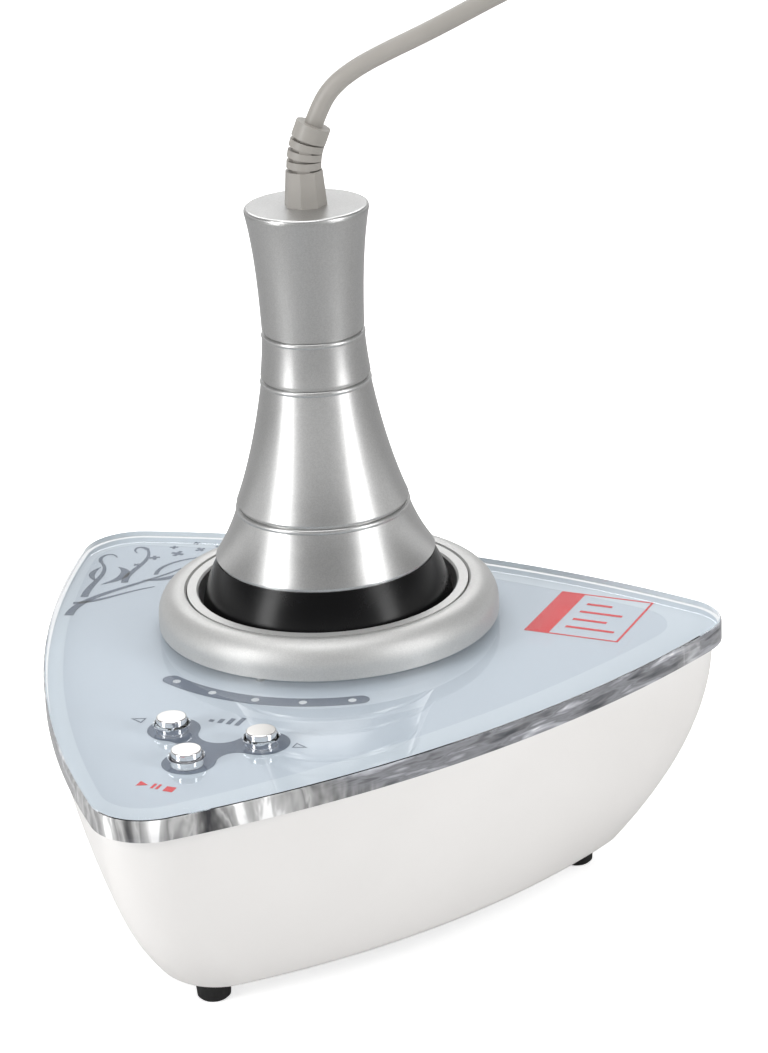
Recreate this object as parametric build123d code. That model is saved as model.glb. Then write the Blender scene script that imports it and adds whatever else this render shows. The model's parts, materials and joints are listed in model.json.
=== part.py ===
from build123d import *
import math
import os

# Desktop ultrasonic body-contouring machine with its handpiece standing in the holder.
# Millimetres. +Z up, one corner of the case towards -Y, origin under the middle of the box.

# Case plan: a bowed triangle with rounded corners
TIP_REACH = 133.8
SIDE_REACH = 89.6
PLATE_CORNER = 18.6
PLATE_THICK = 7.0
PLATE_EDGE_ROUND = 0.9
CASE_Y = (TIP_REACH - SIDE_REACH) / 2
FRONT_TIP_Y = CASE_Y - TIP_REACH
REAR_SIDE_Y = CASE_Y + SIDE_REACH

# Bowl under the plate
RIM_TIP_BACK = 3.2
RIM_SIDE_BACK = 1.2
TIP_DRAW_IN = 33.6
SIDE_DRAW_IN = 20.4
BODY_TIP_TOP = TIP_REACH - RIM_TIP_BACK
BODY_TIP_LOW = BODY_TIP_TOP - TIP_DRAW_IN
BODY_SIDE_TOP = SIDE_REACH - RIM_SIDE_BACK
BODY_SIDE_LOW = BODY_SIDE_TOP - SIDE_DRAW_IN
BODY_CORNER_TOP = 16.5
BODY_CORNER_LOW = 20.0
TIP_BOW_POWER = 1.97
SIDE_BOW_POWER = 1.3
BODY_HEIGHT = 67.7
BODY_EDGE_ROUND = 4.5
BODY_WALL = 2.8
BODY_FLOOR = 4.0
FOOT_HEIGHT = 9.0
FILM_THICK = 0.3
BODY_TOP_Z = FOOT_HEIGHT + BODY_HEIGHT
FILM_TOP_Z = BODY_TOP_Z + FILM_THICK
PLATE_TOP_Z = FILM_TOP_Z + PLATE_THICK
FLOOR_TOP_Z = FOOT_HEIGHT + BODY_FLOOR
FILM_MARGIN = 1.2

# Feet, bosses and bottom cover
FOOT_INSET = 11.5
FOOT_REACH = BODY_TIP_LOW - FOOT_INSET
FOOT_BOSS_R = 4.6
REAR_FOOT_DRAW = 5.0
DECK_BOSS_INSET = 11.6
DECK_BOSS_REACH = BODY_TIP_TOP - DECK_BOSS_INSET
DECK_BOSS_R = 4.4
DECK_BOSS_LONG = 34.0
FOOT_TOP_R = 6.0
FOOT_LOW_R = 5.3
FOOT_EDGE = 0.8
COVER_GAP = 1.8
COVER_SIDE_INSET = 9.0
COVER_TIP = FOOT_REACH - FOOT_TOP_R - COVER_GAP
COVER_SIDE = BODY_SIDE_LOW - COVER_SIDE_INSET
COVER_CORNER = 14.0
COVER_LEDGE = 6.0
COVER_THICK = 2.0
COVER_BOSS_INSET = 9.0
COVER_BOSS_REACH = COVER_TIP - COVER_BOSS_INSET
COVER_BOSS_R = 3.6
COVER_BOSS_HEIGHT = 8.0
VENT_LONG = 26.0
VENT_WIDE = 2.6
VENT_PITCH = 6.0
VENT_COUNT = 6

# Small screws: one size of pan-head screw is used through the case
SCREW_R = 1.45
SCREW_HEAD_R = 2.7
SCREW_HEAD = 1.7
SCREW_LONG = 9.0
SCREW_DRIVE = 1.1
SCREW_DRIVE_DEEP = 0.9
SCREW_CLEAR = 0.2

# General clearances
FIT = 0.15
SLIP = 0.3
OVERRUN = 2.0

# Inner deck under the printed film
DECK_THICK = 2.5
DECK_Z = BODY_TOP_Z - DECK_THICK

# Holder ring on the plate
RING_X = -8.4
RING_BACK = 26.8
RING_Y = CASE_Y + RING_BACK
RING_R = 57.0
RING_HEIGHT = 12.0
RING_WALL_HEIGHT = 3.8
RING_ROUND_WIDE = 7.5
COLLAR_R = 47.2
COLLAR_HEIGHT = 11.5
COLLAR_HOLE_R = 43.3
COLLAR_FOOT_R = 44.8
PAD_R = 43.0
PAD_THICK = 2.0
RING_SCREW_R = 52.0
RING_SCREW_COUNT = 3
RING_SCREW_LONG = 16.0
RING_SCREW_START = 30.0

# Handpiece outline, heights above the plate
CAP_R = 20.1
CAP_Z = 141.5
CAP_THICK = 1.6
CAP_ROUND = 0.9
WAIST_R = 16.7
WAIST_Z = 99.8
HANDLE_BEND_R = 17.2
HANDLE_BEND_Z = 126.0
BAND_LOW_R = 18.0
BAND_LOW_Z = 84.1
BELL_BEND_R = 22.0
BELL_BEND_Z = 58.6
BELL_LOW_R = 28.5
BELL_LOW_Z = 40.8
SKIRT_BEND_R = 31.7
SKIRT_BEND_Z = 30.4
SKIRT_LOW_R = 36.5
SKIRT_LOW_Z = 22.1
HEAD_RING_TOP_R = 36.2
HEAD_RING_BEND_R = 41.2
HEAD_RING_BEND_Z = 13.0
HEAD_RING_LOW_R = 42.2
HEAD_RING_LOW_Z = 3.4
HANDLE_WALL = 2.2
GROOVE = 0.55
JOINT_EDGE = 1.2
SPIGOT_LONG = 5.0
SPIGOT_WALL = 1.5

# Treatment head and sound stack
HEAD_R = 40.4
HEAD_RIM = 3.0
HEAD_EDGE = 1.2
HEAD_SEAT_WIDE = 2.0
FRONT_MASS_LOW_R = 27.0
FRONT_MASS_TOP_R = 15.0
FRONT_MASS_TOP_Z = 33.0
CERAMIC_R = 15.0
CERAMIC_HOLE_R = 6.2
CERAMIC_THICK = 5.0
ELECTRODE_THICK = 0.4
ELECTRODE_TAB = 3.0
ELECTRODE_TAB_WIDE = 4.0
BACK_MASS_R = 15.0
BACK_MASS_LONG = 20.0
BOLT_R = 4.0
BOLT_HEAD_R = 6.5
BOLT_HEAD_LONG = 8.0
BOLT_SOCKET_R = 3.4
BOLT_DEEP = 18.0
CLAMP_R = 9.0
CLAMP_LONG = 4.0
SEAL_THICK = 1.8

# Strain relief on the handpiece and its lean
RELIEF_BASE_R = 7.0
RELIEF_NECK_R = 6.1
RELIEF_FACET_TURN = -12.0
RELIEF_BASE_LONG = 11.4
RELIEF_CORE_R = 4.1
RELIEF_LEAN = 22.0
RELIEF_BEND_R = 26.0
RELIEF_RIB_R = 5.6
RELIEF_RIB_THICK = 2.3
RELIEF_RIB_COUNT = 3
RELIEF_COLLAR_R = 5.7
RELIEF_COLLAR_LONG = 5.2
RELIEF_BRIDGE_WIDE = 4.0
RELIEF_BRIDGE_STEP = 0.4
RELIEF_TAIL_R = 3.9
RELIEF_TAIL_LONG = 6.0

# Handpiece cable: the arch as distance from the handpiece and height, then its drop as points
CABLE_R = 3.0
ARCH_START_RUN = 7.0
ARCH_OUT_AND_UP = [
    (11.0, 263.9),
    (17.8, 268.7),
    (26.2, 272.9),
    (43.0, 280.0),
    (71.5, 293.8),
    (102.0, 304.5),
    (134.0, 306.5),
    (158.0, 295.5),
    (171.0, 271.0),
]
DROP_POINTS = [
    (148.6, 122.3, 236.0),
    (148.9, 126.2, 181.0),
    (152.3, 125.4, 126.0),
    (151.6, 128.9, 73.0),
    (153.1, 128.7, 39.5),
    (153.9, 122.0, 22.8),
    (154.6, 109.3, 10.0),
    (155.0, 92.6, 3.0),
]
LOW_TURNS = 2.5
HIGH_TURNS = 1.5
COIL_R = 40.5
COIL_X = 195.5
COIL_Y = 70.0
COIL_STEP = 6.6
COIL_END = 6.0
PLAN_ANGLE = 25.49
CABLE_END_Z = 3.0

# Plug on the cable's far end
PLUG_NUT_R = 9.4
PLUG_AXIS_Z = PLUG_NUT_R
TAIL_TURN = 50.0
TAIL_RUN = 17.0
PLUG_NUT_LONG = 13.0
PLUG_NUT_LIP = 1.4
PLUG_BARREL_R = 6.7
PLUG_BARREL_LONG = 8.0
PLUG_SHELL_R = 7.4
PLUG_SHELL_LONG = 22.0
PLUG_COLLAR_LONG = 3.0
PLUG_BORE_R = 5.7
PLUG_PIN_HOLE_R = 0.9
PLUG_RELIEF_R = 5.4
PLUG_RELIEF_LONG = 20.0
KNURL_COUNT = 36
KNURL_DEEP = 0.35
THREAD_R = 8.0

# Buttons and lights
PANEL_X = -1.7
BUTTON_R = 4.8
BUTTON_PROUD = 2.4
BUTTON_TRAVEL = 0.8
BUTTON_HOLE_R = 5.1
BUTTON_FLANGE_R = 6.3
BUTTON_FLANGE_THICK = 1.0
BUTTON_EDGE = 0.7
BUTTON_SIDE_X = 15.6
BUTTON_FRONT_IN = 45.2
BUTTON_ROWS = 19.7
BUTTON_FRONT_Y = FRONT_TIP_Y + BUTTON_FRONT_IN
BUTTON_REAR_Y = BUTTON_FRONT_Y + BUTTON_ROWS
SWITCH_SIDE = 6.2
SWITCH_HEIGHT = 3.5
PLUNGER_R = 1.7
PLUNGER_LONG = 2.5
PLUNGER_SUNK = 1.0
LED_ARC_R = 67.0
LED_ARC_TURN = 4.7
LED_STEP = 13.4
LED_COUNT = 5
LED_R = 1.5
LED_LONG = 5.0
LED_RIM_R = 1.9
LED_RIM = 0.8
LED_LEG_R = 0.25
LED_LEG_OUT = 0.9
LED_WINDOW_R = 1.3

# Circuit boards
BOARD_THICK = 1.6
PANEL_BOARD_WIDE = 88.0
PANEL_BOARD_NECK = 44.0
PANEL_BOARD_BACK = 43.8
PANEL_BOARD_STEP = 20.3
PANEL_BOARD_WAIST = 8.3
PANEL_BOARD_NOSE = 8.3
PANEL_BOARD_REAR_Y = BUTTON_REAR_Y + PANEL_BOARD_BACK
PANEL_BOARD_STEP_Y = BUTTON_REAR_Y + PANEL_BOARD_STEP
PANEL_BOARD_WAIST_Y = BUTTON_REAR_Y + PANEL_BOARD_WAIST
PANEL_BOARD_FRONT_Y = BUTTON_FRONT_Y - PANEL_BOARD_NOSE
PANEL_BOSS_R = 3.0
PANEL_BOSS_BACK = 7.7
PANEL_BOSS_Y = BUTTON_FRONT_Y + PANEL_BOSS_BACK
MAIN_BOARD_X = 66.0
MAIN_BOARD_Y = 46.0
MAIN_BOARD_RISE = 6.0
MAIN_HOLE_INSET = 4.0

# Parts on the main board
CORE_X = 32.0
CORE_Y = 27.0
CORE_Z = 27.0
CORE_LEG = 6.0
WINDING_SWELL = 3.5
CORE_SHIFT_X = -12.0
CORE_SHIFT_Y = -2.1
CAPACITOR_R = 5.0
CAPACITOR_LONG = 21.0
CAPACITOR_X = 9.3
SINK_Y = 10.0
SINK_Z = 25.0
SINK_BASE = 3.0
SINK_FIN = 1.4
SINK_FIN_COUNT = 7
TRANSISTOR_X = 10.0
TRANSISTOR_Y = 4.4
TRANSISTOR_Z = 15.0
TERMINAL_X = 15.0
TERMINAL_Y = 8.0
TERMINAL_Z = 10.0
HEADER_X = 16.0
HEADER_Y = 5.0
HEADER_Z = 6.0
HEADER_PLACE_X = -16.0
RIBBON_WIDE = 12.7
RIBBON_THICK = 0.9
RIBBON_HIGH_BEND_SHARE = 0.5
RIBBON_LOW_BEND_SHARE = 0.2
WIRE_R = 1.1

# Rear bay with mains inlet, power switch and cable socket
BAY_X = 110.0
BAY_Z = 34.0
BAY_RISE = 32.0
BAY_DEEP = 22.2
BAY_MIDDLE_Z = FOOT_HEIGHT + BAY_RISE
BAY_FACE_Y = REAR_SIDE_Y - BAY_DEEP
PANEL_WALL = 2.2
INLET_X = -24.5
INLET_FLANGE_X = 50.0
INLET_FLANGE_Z = 23.0
INLET_FLANGE = 2.6
INLET_BODY_X = 27.0
INLET_BODY_Z = 19.8
INLET_DEEP = 20.0
INLET_WALL = 1.3
INLET_CAVITY = 16.0
INLET_PIN_X = 2.0
INLET_PIN_Z = 4.0
INLET_PIN_PITCH = 7.0
INLET_PIN_RISE = 2.0
INLET_SCREW_PITCH = 40.0
INLET_CHAMFER = 4.5
SWITCH_X = 14.5
SWITCH_FLANGE_X = 15.0
SWITCH_FLANGE_Z = 21.0
SWITCH_FLANGE = 2.0
SWITCH_BODY_X = 12.8
SWITCH_BODY_Z = 18.8
SWITCH_DEEP = 15.0
SWITCH_WALL = 1.4
ROCKER_TILT = 9.0
ROCKER_PIN_R = 1.3
ROCKER_PIN_LONG = 1.0
ROCKER_PIN_CLEAR = 0.05
ROCKER_RISE = 2.4
ROCKER_SADDLE_R = 22.0
SOCKET_X = 37.0
SOCKET_FLANGE_R = 10.4
SOCKET_FLANGE = 2.4
SOCKET_PROUD = 8.5
SOCKET_BORE_R = 7.0
SOCKET_CAVITY = 8.0
SOCKET_DEEP = 12.0
SOCKET_BACK_R = 7.4
SOCKET_NUT_R = 11.2
SOCKET_NUT = 2.6
CONTACT_R = 0.8
CONTACT_RING_R = 4.3
CONTACT_LONG = 7.0
CONTACT_COUNT = 4
HALF_TURN = 180.0
FULL_TURN = 360.0
CORNERS = 3


def polar(radius, angle):
    return Vector(radius * math.cos(math.radians(angle)), radius * math.sin(math.radians(angle)))


def bowed_triangle(tip, side, corner, height):
    """A flat face of three bowed sides and three rounded corners, one corner at the front."""
    reach = tip - corner
    top = reach * reach + side * side - corner * corner - reach * side
    bow = top / (2 * side - 2 * corner - reach)
    sixty = FULL_TURN / (2 * CORNERS)
    across = reach * math.sin(math.radians(sixty))
    along = reach * math.cos(math.radians(sixty)) + bow - side
    half = math.degrees(math.atan(across / along))
    middle = Vector(0, CASE_Y, height)
    edges = []
    for number in range(CORNERS):
        side_angle = -FULL_TURN / 4 + sixty + number * 2 * sixty
        corner_angle = side_angle + sixty
        centre = middle - polar(bow - side, side_angle)
        start = centre + polar(bow, side_angle - half)
        crown = centre + polar(bow, side_angle)
        end = centre + polar(bow, side_angle + half)
        next_centre = middle - polar(bow - side, side_angle + 2 * sixty)
        next_start = next_centre + polar(bow, side_angle + 2 * sixty - half)
        edges.append(ThreePointArc(start, crown, end))
        edges.append(ThreePointArc(end, middle + polar(tip, corner_angle), next_start))
    return Face(Wire(edges))


def prism(tip, side, corner, low, high):
    """A straight-sided plate of the bowed triangle from one height to another."""
    return extrude(bowed_triangle(tip, side, corner, low), high - low, Vector(0, 0, 1))


def bowl_section(share, inset):
    tip = BODY_TIP_TOP - (BODY_TIP_TOP - BODY_TIP_LOW) * share ** TIP_BOW_POWER
    side = BODY_SIDE_TOP - (BODY_SIDE_TOP - BODY_SIDE_LOW) * share ** SIDE_BOW_POWER
    corner = BODY_CORNER_TOP + (BODY_CORNER_LOW - BODY_CORNER_TOP) * share
    return bowed_triangle(tip - inset, side - inset, corner - inset, BODY_TOP_Z - share * BODY_HEIGHT)


def bowl(inset, floor):
    """The case's solid form, drawn in by inset, from its rim down to a floor."""
    last_share = (BODY_HEIGHT - floor) / BODY_HEIGHT
    levels = 4
    return loft([bowl_section(last_share * level / levels, inset) for level in range(levels + 1)])


def turned(outline):
    """A solid of revolution about Z from an outline drawn as radius and height."""
    return revolve(Plane.XZ * make_face(outline), Axis.Z)


def ring(inner, outer, low, high):
    """A plain ring, or a disc where inner is zero."""
    return turned(Polyline((inner, low), (outer, low), (outer, high), (inner, high), close=True))


def disc_at(x, y, radius, low, high):
    return Pos(x, y, low) * extrude(Circle(radius), high - low)


def block(x, y, low, size_x, size_y, size_z):
    """A block centred on x and y that stands on the height low."""
    return Pos(x, y, low + size_z / 2) * Box(size_x, size_y, size_z)


def corner_places(reach):
    """Three places on the way from the case's middle to its corners."""
    start = -FULL_TURN / 4
    return [Vector(0, CASE_Y) + polar(reach, start + n * FULL_TURN / CORNERS) for n in range(CORNERS)]


def foot_spots():
    """The three feet, the rear two drawn a little towards the front."""
    spots = corner_places(FOOT_REACH)
    return [spots[0]] + [spot - Vector(0, REAR_FOOT_DRAW) for spot in spots[1:]]


def screw(length, head_r=SCREW_HEAD_R):
    """A pan-head screw along +Z, its head's underside at zero, with a cross drive."""
    body = disc_at(0, 0, SCREW_R, 0, length) + ring(0, head_r, -SCREW_HEAD, 0)
    slot = Box(2 * SCREW_DRIVE, SCREW_DRIVE / 2, 2 * SCREW_DRIVE_DEEP)
    cross = slot + Rot(0, 0, FULL_TURN / 4) * slot
    return body - Pos(0, 0, -SCREW_HEAD) * cross


def group(solids):
    """Several separate solids as one sub-part."""
    return Compound(children=[solid for piece in solids for solid in piece.solids()])


parts = {}
os.makedirs("parts", exist_ok=True)

# Top plate, printed film and inner deck
on_plate = Pos(RING_X, RING_Y, PLATE_TOP_Z)
button_places = {
    "left": Vector(PANEL_X - BUTTON_SIDE_X, BUTTON_REAR_Y),
    "right": Vector(PANEL_X + BUTTON_SIDE_X, BUTTON_REAR_Y),
    "front": Vector(PANEL_X, BUTTON_FRONT_Y),
}
led_middle = (LED_COUNT - 1) / 2
led_angle = LED_ARC_TURN - FULL_TURN / 4
led_places = [
    Vector(RING_X, RING_Y) + polar(LED_ARC_R, led_angle + (n - led_middle) * LED_STEP)
    for n in range(LED_COUNT)
]
ring_screw_places = [
    Vector(RING_X, RING_Y) + polar(RING_SCREW_R, RING_SCREW_START + n * FULL_TURN / RING_SCREW_COUNT)
    for n in range(RING_SCREW_COUNT)
]

plate = prism(TIP_REACH, SIDE_REACH, PLATE_CORNER, FILM_TOP_Z, PLATE_TOP_Z)
plate = fillet(plate.edges().group_by(Axis.Z)[-1], PLATE_EDGE_ROUND)
film = prism(
    TIP_REACH - FILM_MARGIN, SIDE_REACH - FILM_MARGIN, PLATE_CORNER - FILM_MARGIN, BODY_TOP_Z, FILM_TOP_Z
)
deck_inset = BODY_WALL + SLIP
deck_tip = BODY_TIP_TOP - deck_inset - SLIP
deck_side = BODY_SIDE_TOP - deck_inset - SLIP
deck = prism(deck_tip, deck_side, BODY_CORNER_TOP - deck_inset, DECK_Z, BODY_TOP_Z)

for place in button_places.values():
    plate -= disc_at(place.X, place.Y, BUTTON_HOLE_R, FILM_TOP_Z, PLATE_TOP_Z)
    film -= disc_at(place.X, place.Y, BUTTON_HOLE_R, BODY_TOP_Z, FILM_TOP_Z)
    deck -= disc_at(place.X, place.Y, BUTTON_R + SLIP, DECK_Z, BODY_TOP_Z)
for place in led_places:
    film -= disc_at(place.X, place.Y, LED_WINDOW_R + FIT, BODY_TOP_Z, FILM_TOP_Z)
    deck -= disc_at(place.X, place.Y, LED_R + SLIP, DECK_Z, BODY_TOP_Z)
for place in ring_screw_places:
    clear_r = SCREW_R + SCREW_CLEAR
    plate -= disc_at(place.X, place.Y, clear_r, FILM_TOP_Z, PLATE_TOP_Z)
    film -= disc_at(place.X, place.Y, clear_r, BODY_TOP_Z, FILM_TOP_Z)
    deck -= disc_at(place.X, place.Y, clear_r, DECK_Z, BODY_TOP_Z)
for place in corner_places(DECK_BOSS_REACH):
    deck -= disc_at(place.X, place.Y, SCREW_R + SCREW_CLEAR, DECK_Z, BODY_TOP_Z)
    deck -= disc_at(place.X, place.Y, SCREW_HEAD_R + SCREW_CLEAR, BODY_TOP_Z - SCREW_HEAD, BODY_TOP_Z)

# Bosses under the deck that carry the button board
switch_top_z = DECK_Z - BUTTON_FLANGE_THICK - SLIP - PLUNGER_LONG + PLUNGER_SUNK
panel_board_top_z = switch_top_z - SWITCH_HEIGHT
panel_boss_rows = (
    (PANEL_BOARD_WIDE, PANEL_BOARD_REAR_Y - PANEL_BOSS_R - SLIP),
    (PANEL_BOARD_NECK, PANEL_BOSS_Y),
)
panel_boss_places = [
    Vector(PANEL_X + side * (wide / 2 - PANEL_BOSS_R - SLIP), y)
    for side in (-1, 1)
    for wide, y in panel_boss_rows
]
for place in panel_boss_places:
    deck += disc_at(place.X, place.Y, PANEL_BOSS_R, panel_board_top_z, DECK_Z)
    deck -= disc_at(place.X, place.Y, SCREW_R, panel_board_top_z, DECK_Z - SLIP)
parts["top_plate"] = plate
parts["printed_film"] = film
parts["inner_deck"] = deck

# Bowl of the case
outer = bowl(0, 0)
outer = fillet(outer.edges().group_by(Axis.Z)[0], BODY_EDGE_ROUND)
shell = outer - bowl(BODY_WALL, BODY_FLOOR)
cover_low_z = FOOT_HEIGHT
cover_top_z = FOOT_HEIGHT + COVER_THICK
for place in foot_spots():
    shell += disc_at(place.X, place.Y, FOOT_BOSS_R, FLOOR_TOP_Z, FLOOR_TOP_Z + COVER_BOSS_HEIGHT)
for place in corner_places(DECK_BOSS_REACH):
    shell += outer & disc_at(place.X, place.Y, DECK_BOSS_R, DECK_Z - DECK_BOSS_LONG, DECK_Z)
for place in corner_places(COVER_BOSS_REACH):
    shell += disc_at(place.X, place.Y, COVER_BOSS_R, FLOOR_TOP_Z, FLOOR_TOP_Z + COVER_BOSS_HEIGHT)
shell -= prism(COVER_TIP + FIT, COVER_SIDE + FIT, COVER_CORNER + FIT, cover_low_z - OVERRUN, cover_top_z)
opening_tip = COVER_TIP - 2 * COVER_LEDGE - COVER_BOSS_R
opening_side = COVER_SIDE - COVER_LEDGE
shell -= prism(opening_tip, opening_side, COVER_CORNER, cover_top_z, FLOOR_TOP_Z)
for place in foot_spots():
    shell -= disc_at(place.X, place.Y, SCREW_R, FOOT_HEIGHT, FOOT_HEIGHT + SCREW_LONG)
for place in corner_places(DECK_BOSS_REACH):
    shell -= disc_at(place.X, place.Y, SCREW_R, DECK_Z - SCREW_LONG, DECK_Z)
for place in corner_places(COVER_BOSS_REACH):
    shell -= disc_at(place.X, place.Y, SCREW_R, cover_top_z, cover_top_z + SCREW_LONG - COVER_THICK)
bay_cut_y = REAR_SIDE_Y + OVERRUN
bay_back_y = BAY_FACE_Y - PANEL_WALL
bay_low_z = BAY_MIDDLE_Z - BAY_Z / 2
bay_mid_y = (bay_back_y + bay_cut_y) / 2
bay_cut = block(0, bay_mid_y, bay_low_z, BAY_X, bay_cut_y - bay_back_y, BAY_Z)
shell -= bay_cut
parts["body_shell"] = shell

# Rear bay tub, trimmed to the bowl's outside
tub_x = BAY_X - 2 * FIT
tub_z = BAY_Z - 2 * FIT
tub = outer & block(0, bay_mid_y, bay_low_z + FIT, tub_x, bay_cut_y - bay_back_y, tub_z)
face_mid_y = (BAY_FACE_Y + bay_cut_y) / 2
tub -= block(
    0,
    face_mid_y,
    bay_low_z + FIT + PANEL_WALL,
    tub_x - 2 * PANEL_WALL,
    bay_cut_y - BAY_FACE_Y,
    tub_z - 2 * PANEL_WALL,
)


def through_panel(x, size_x, size_z):
    return Pos(x, bay_back_y + PANEL_WALL / 2, BAY_MIDDLE_Z) * Box(size_x, 2 * PANEL_WALL, size_z)


def facing_back(x, y):
    """Turns a piece drawn along +Z so that it points out of the rear panel at this place."""
    return Pos(x, y, BAY_MIDDLE_Z) * Rot(-FULL_TURN / 4, 0, 0)


tub -= through_panel(INLET_X, INLET_BODY_X + 2 * FIT, INLET_BODY_Z + 2 * FIT)
tub -= through_panel(SWITCH_X, SWITCH_BODY_X + 2 * FIT, SWITCH_BODY_Z + 2 * FIT)
cut_long = PANEL_WALL + 2 * OVERRUN
tub -= facing_back(SOCKET_X, bay_back_y - OVERRUN) * disc_at(0, 0, THREAD_R + FIT, 0, cut_long)
inlet_screw_places = [INLET_X + side * INLET_SCREW_PITCH / 2 for side in (-1, 1)]
for x in inlet_screw_places:
    tub -= facing_back(x, bay_back_y - OVERRUN) * disc_at(0, 0, SCREW_R, 0, cut_long)
parts["rear_panel"] = tub

# Mains inlet with three blades
inlet_front_y = BAY_FACE_Y + INLET_FLANGE
inlet_back_y = BAY_FACE_Y - INLET_DEEP
inlet_mid_y = (inlet_front_y + inlet_back_y) / 2
inlet = Pos(INLET_X, BAY_FACE_Y + INLET_FLANGE / 2, BAY_MIDDLE_Z) * Box(
    INLET_FLANGE_X, INLET_FLANGE, INLET_FLANGE_Z
)
inlet = fillet(inlet.edges().filter_by(Axis.Y), INLET_FLANGE)
inlet += Pos(INLET_X, inlet_mid_y, BAY_MIDDLE_Z) * Box(
    INLET_BODY_X, inlet_front_y - inlet_back_y, INLET_BODY_Z
)
cavity = Box(INLET_BODY_X - 2 * INLET_WALL, INLET_CAVITY, INLET_BODY_Z - 2 * INLET_WALL)
cavity = chamfer(cavity.edges().filter_by(Axis.Y).group_by(Axis.Z)[-1], INLET_CHAMFER)
inlet -= Pos(INLET_X, inlet_front_y - INLET_CAVITY / 2, BAY_MIDDLE_Z) * cavity
for x in inlet_screw_places:
    inlet -= facing_back(x, BAY_FACE_Y) * disc_at(0, 0, SCREW_R + SCREW_CLEAR, 0, INLET_FLANGE)
parts["mains_inlet"] = inlet
blade_places = [
    (INLET_X - INLET_PIN_PITCH, -INLET_PIN_RISE),
    (INLET_X, INLET_PIN_RISE),
    (INLET_X + INLET_PIN_PITCH, -INLET_PIN_RISE),
]
blade_long = INLET_CAVITY - INLET_FLANGE
blade_mid_y = inlet_front_y - INLET_CAVITY + blade_long / 2
parts["inlet_blades"] = group(
    [
        Pos(x, blade_mid_y, BAY_MIDDLE_Z + rise) * Box(INLET_PIN_X, blade_long, INLET_PIN_Z)
        for x, rise in blade_places
    ]
)
short_screw = screw(MAIN_BOARD_RISE)
small_screws = [
    facing_back(x, inlet_front_y) * Rot(0, HALF_TURN, 0) * short_screw for x in inlet_screw_places
]

# Power switch: frame and rocker
switch_front_y = BAY_FACE_Y + SWITCH_FLANGE
switch_back_y = BAY_FACE_Y - SWITCH_DEEP
frame = Pos(SWITCH_X, BAY_FACE_Y + SWITCH_FLANGE / 2, BAY_MIDDLE_Z) * Box(
    SWITCH_FLANGE_X, SWITCH_FLANGE, SWITCH_FLANGE_Z
)
frame = fillet(frame.edges().filter_by(Axis.Y), SWITCH_FLANGE / 2)
frame += Pos(SWITCH_X, (switch_front_y + switch_back_y) / 2, BAY_MIDDLE_Z) * Box(
    SWITCH_BODY_X, switch_front_y - switch_back_y, SWITCH_BODY_Z
)
well_x = SWITCH_BODY_X - 2 * SWITCH_WALL
well_z = SWITCH_BODY_Z - 2 * SWITCH_WALL
rocker_r = well_z / 2 - SLIP
well_deep = rocker_r + SWITCH_FLANGE + SLIP
frame -= Pos(SWITCH_X, switch_front_y - well_deep / 2, BAY_MIDDLE_Z) * Box(well_x, well_deep, well_z)
pivot_y = BAY_FACE_Y
for side in (-1, 1):
    socket = Rot(0, FULL_TURN / 4, 0) * Cylinder(ROCKER_PIN_R, 2 * ROCKER_PIN_LONG)
    frame -= Pos(SWITCH_X + side * well_x / 2, pivot_y, BAY_MIDDLE_Z) * socket
parts["switch_frame"] = frame
rocker_x = well_x - 2 * SLIP
lying = Rot(0, FULL_TURN / 4, 0)
rocker = lying * Cylinder(rocker_r, rocker_x)
saddle = lying * Cylinder(ROCKER_SADDLE_R, rocker_x + OVERRUN)
rocker -= Pos(0, ROCKER_RISE + ROCKER_SADDLE_R, 0) * saddle
rocker += lying * Cylinder(ROCKER_PIN_R - ROCKER_PIN_CLEAR, well_x + 2 * ROCKER_PIN_LONG - 2 * SLIP)
parts["power_rocker"] = Pos(SWITCH_X, pivot_y, BAY_MIDDLE_Z) * Rot(ROCKER_TILT, 0, 0) * rocker

# Socket for the handpiece plug
socket_body = facing_back(SOCKET_X, BAY_FACE_Y) * (
    ring(0, SOCKET_FLANGE_R, 0, SOCKET_FLANGE)
    + ring(0, THREAD_R, -PANEL_WALL - SOCKET_NUT - OVERRUN, SOCKET_PROUD)
    + ring(0, SOCKET_BACK_R, -SOCKET_DEEP, 0)
    - ring(0, SOCKET_BORE_R, SOCKET_PROUD - SOCKET_CAVITY, SOCKET_PROUD)
)
parts["cable_socket"] = socket_body
contact_low = SOCKET_PROUD - SOCKET_CAVITY
contacts = [
    disc_at(place.X, place.Y, CONTACT_R, contact_low, contact_low + CONTACT_LONG)
    for place in (
        polar(CONTACT_RING_R, (n + 1 / 2) * FULL_TURN / CONTACT_COUNT) for n in range(CONTACT_COUNT)
    )
]
parts["socket_contacts"] = group([facing_back(SOCKET_X, BAY_FACE_Y) * contact for contact in contacts])
nut = extrude(RegularPolygon(SOCKET_NUT_R, 6), SOCKET_NUT) - disc_at(0, 0, THREAD_R + FIT / 2, 0, SOCKET_NUT)
parts["socket_nut"] = facing_back(SOCKET_X, bay_back_y - SOCKET_NUT) * nut

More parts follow.
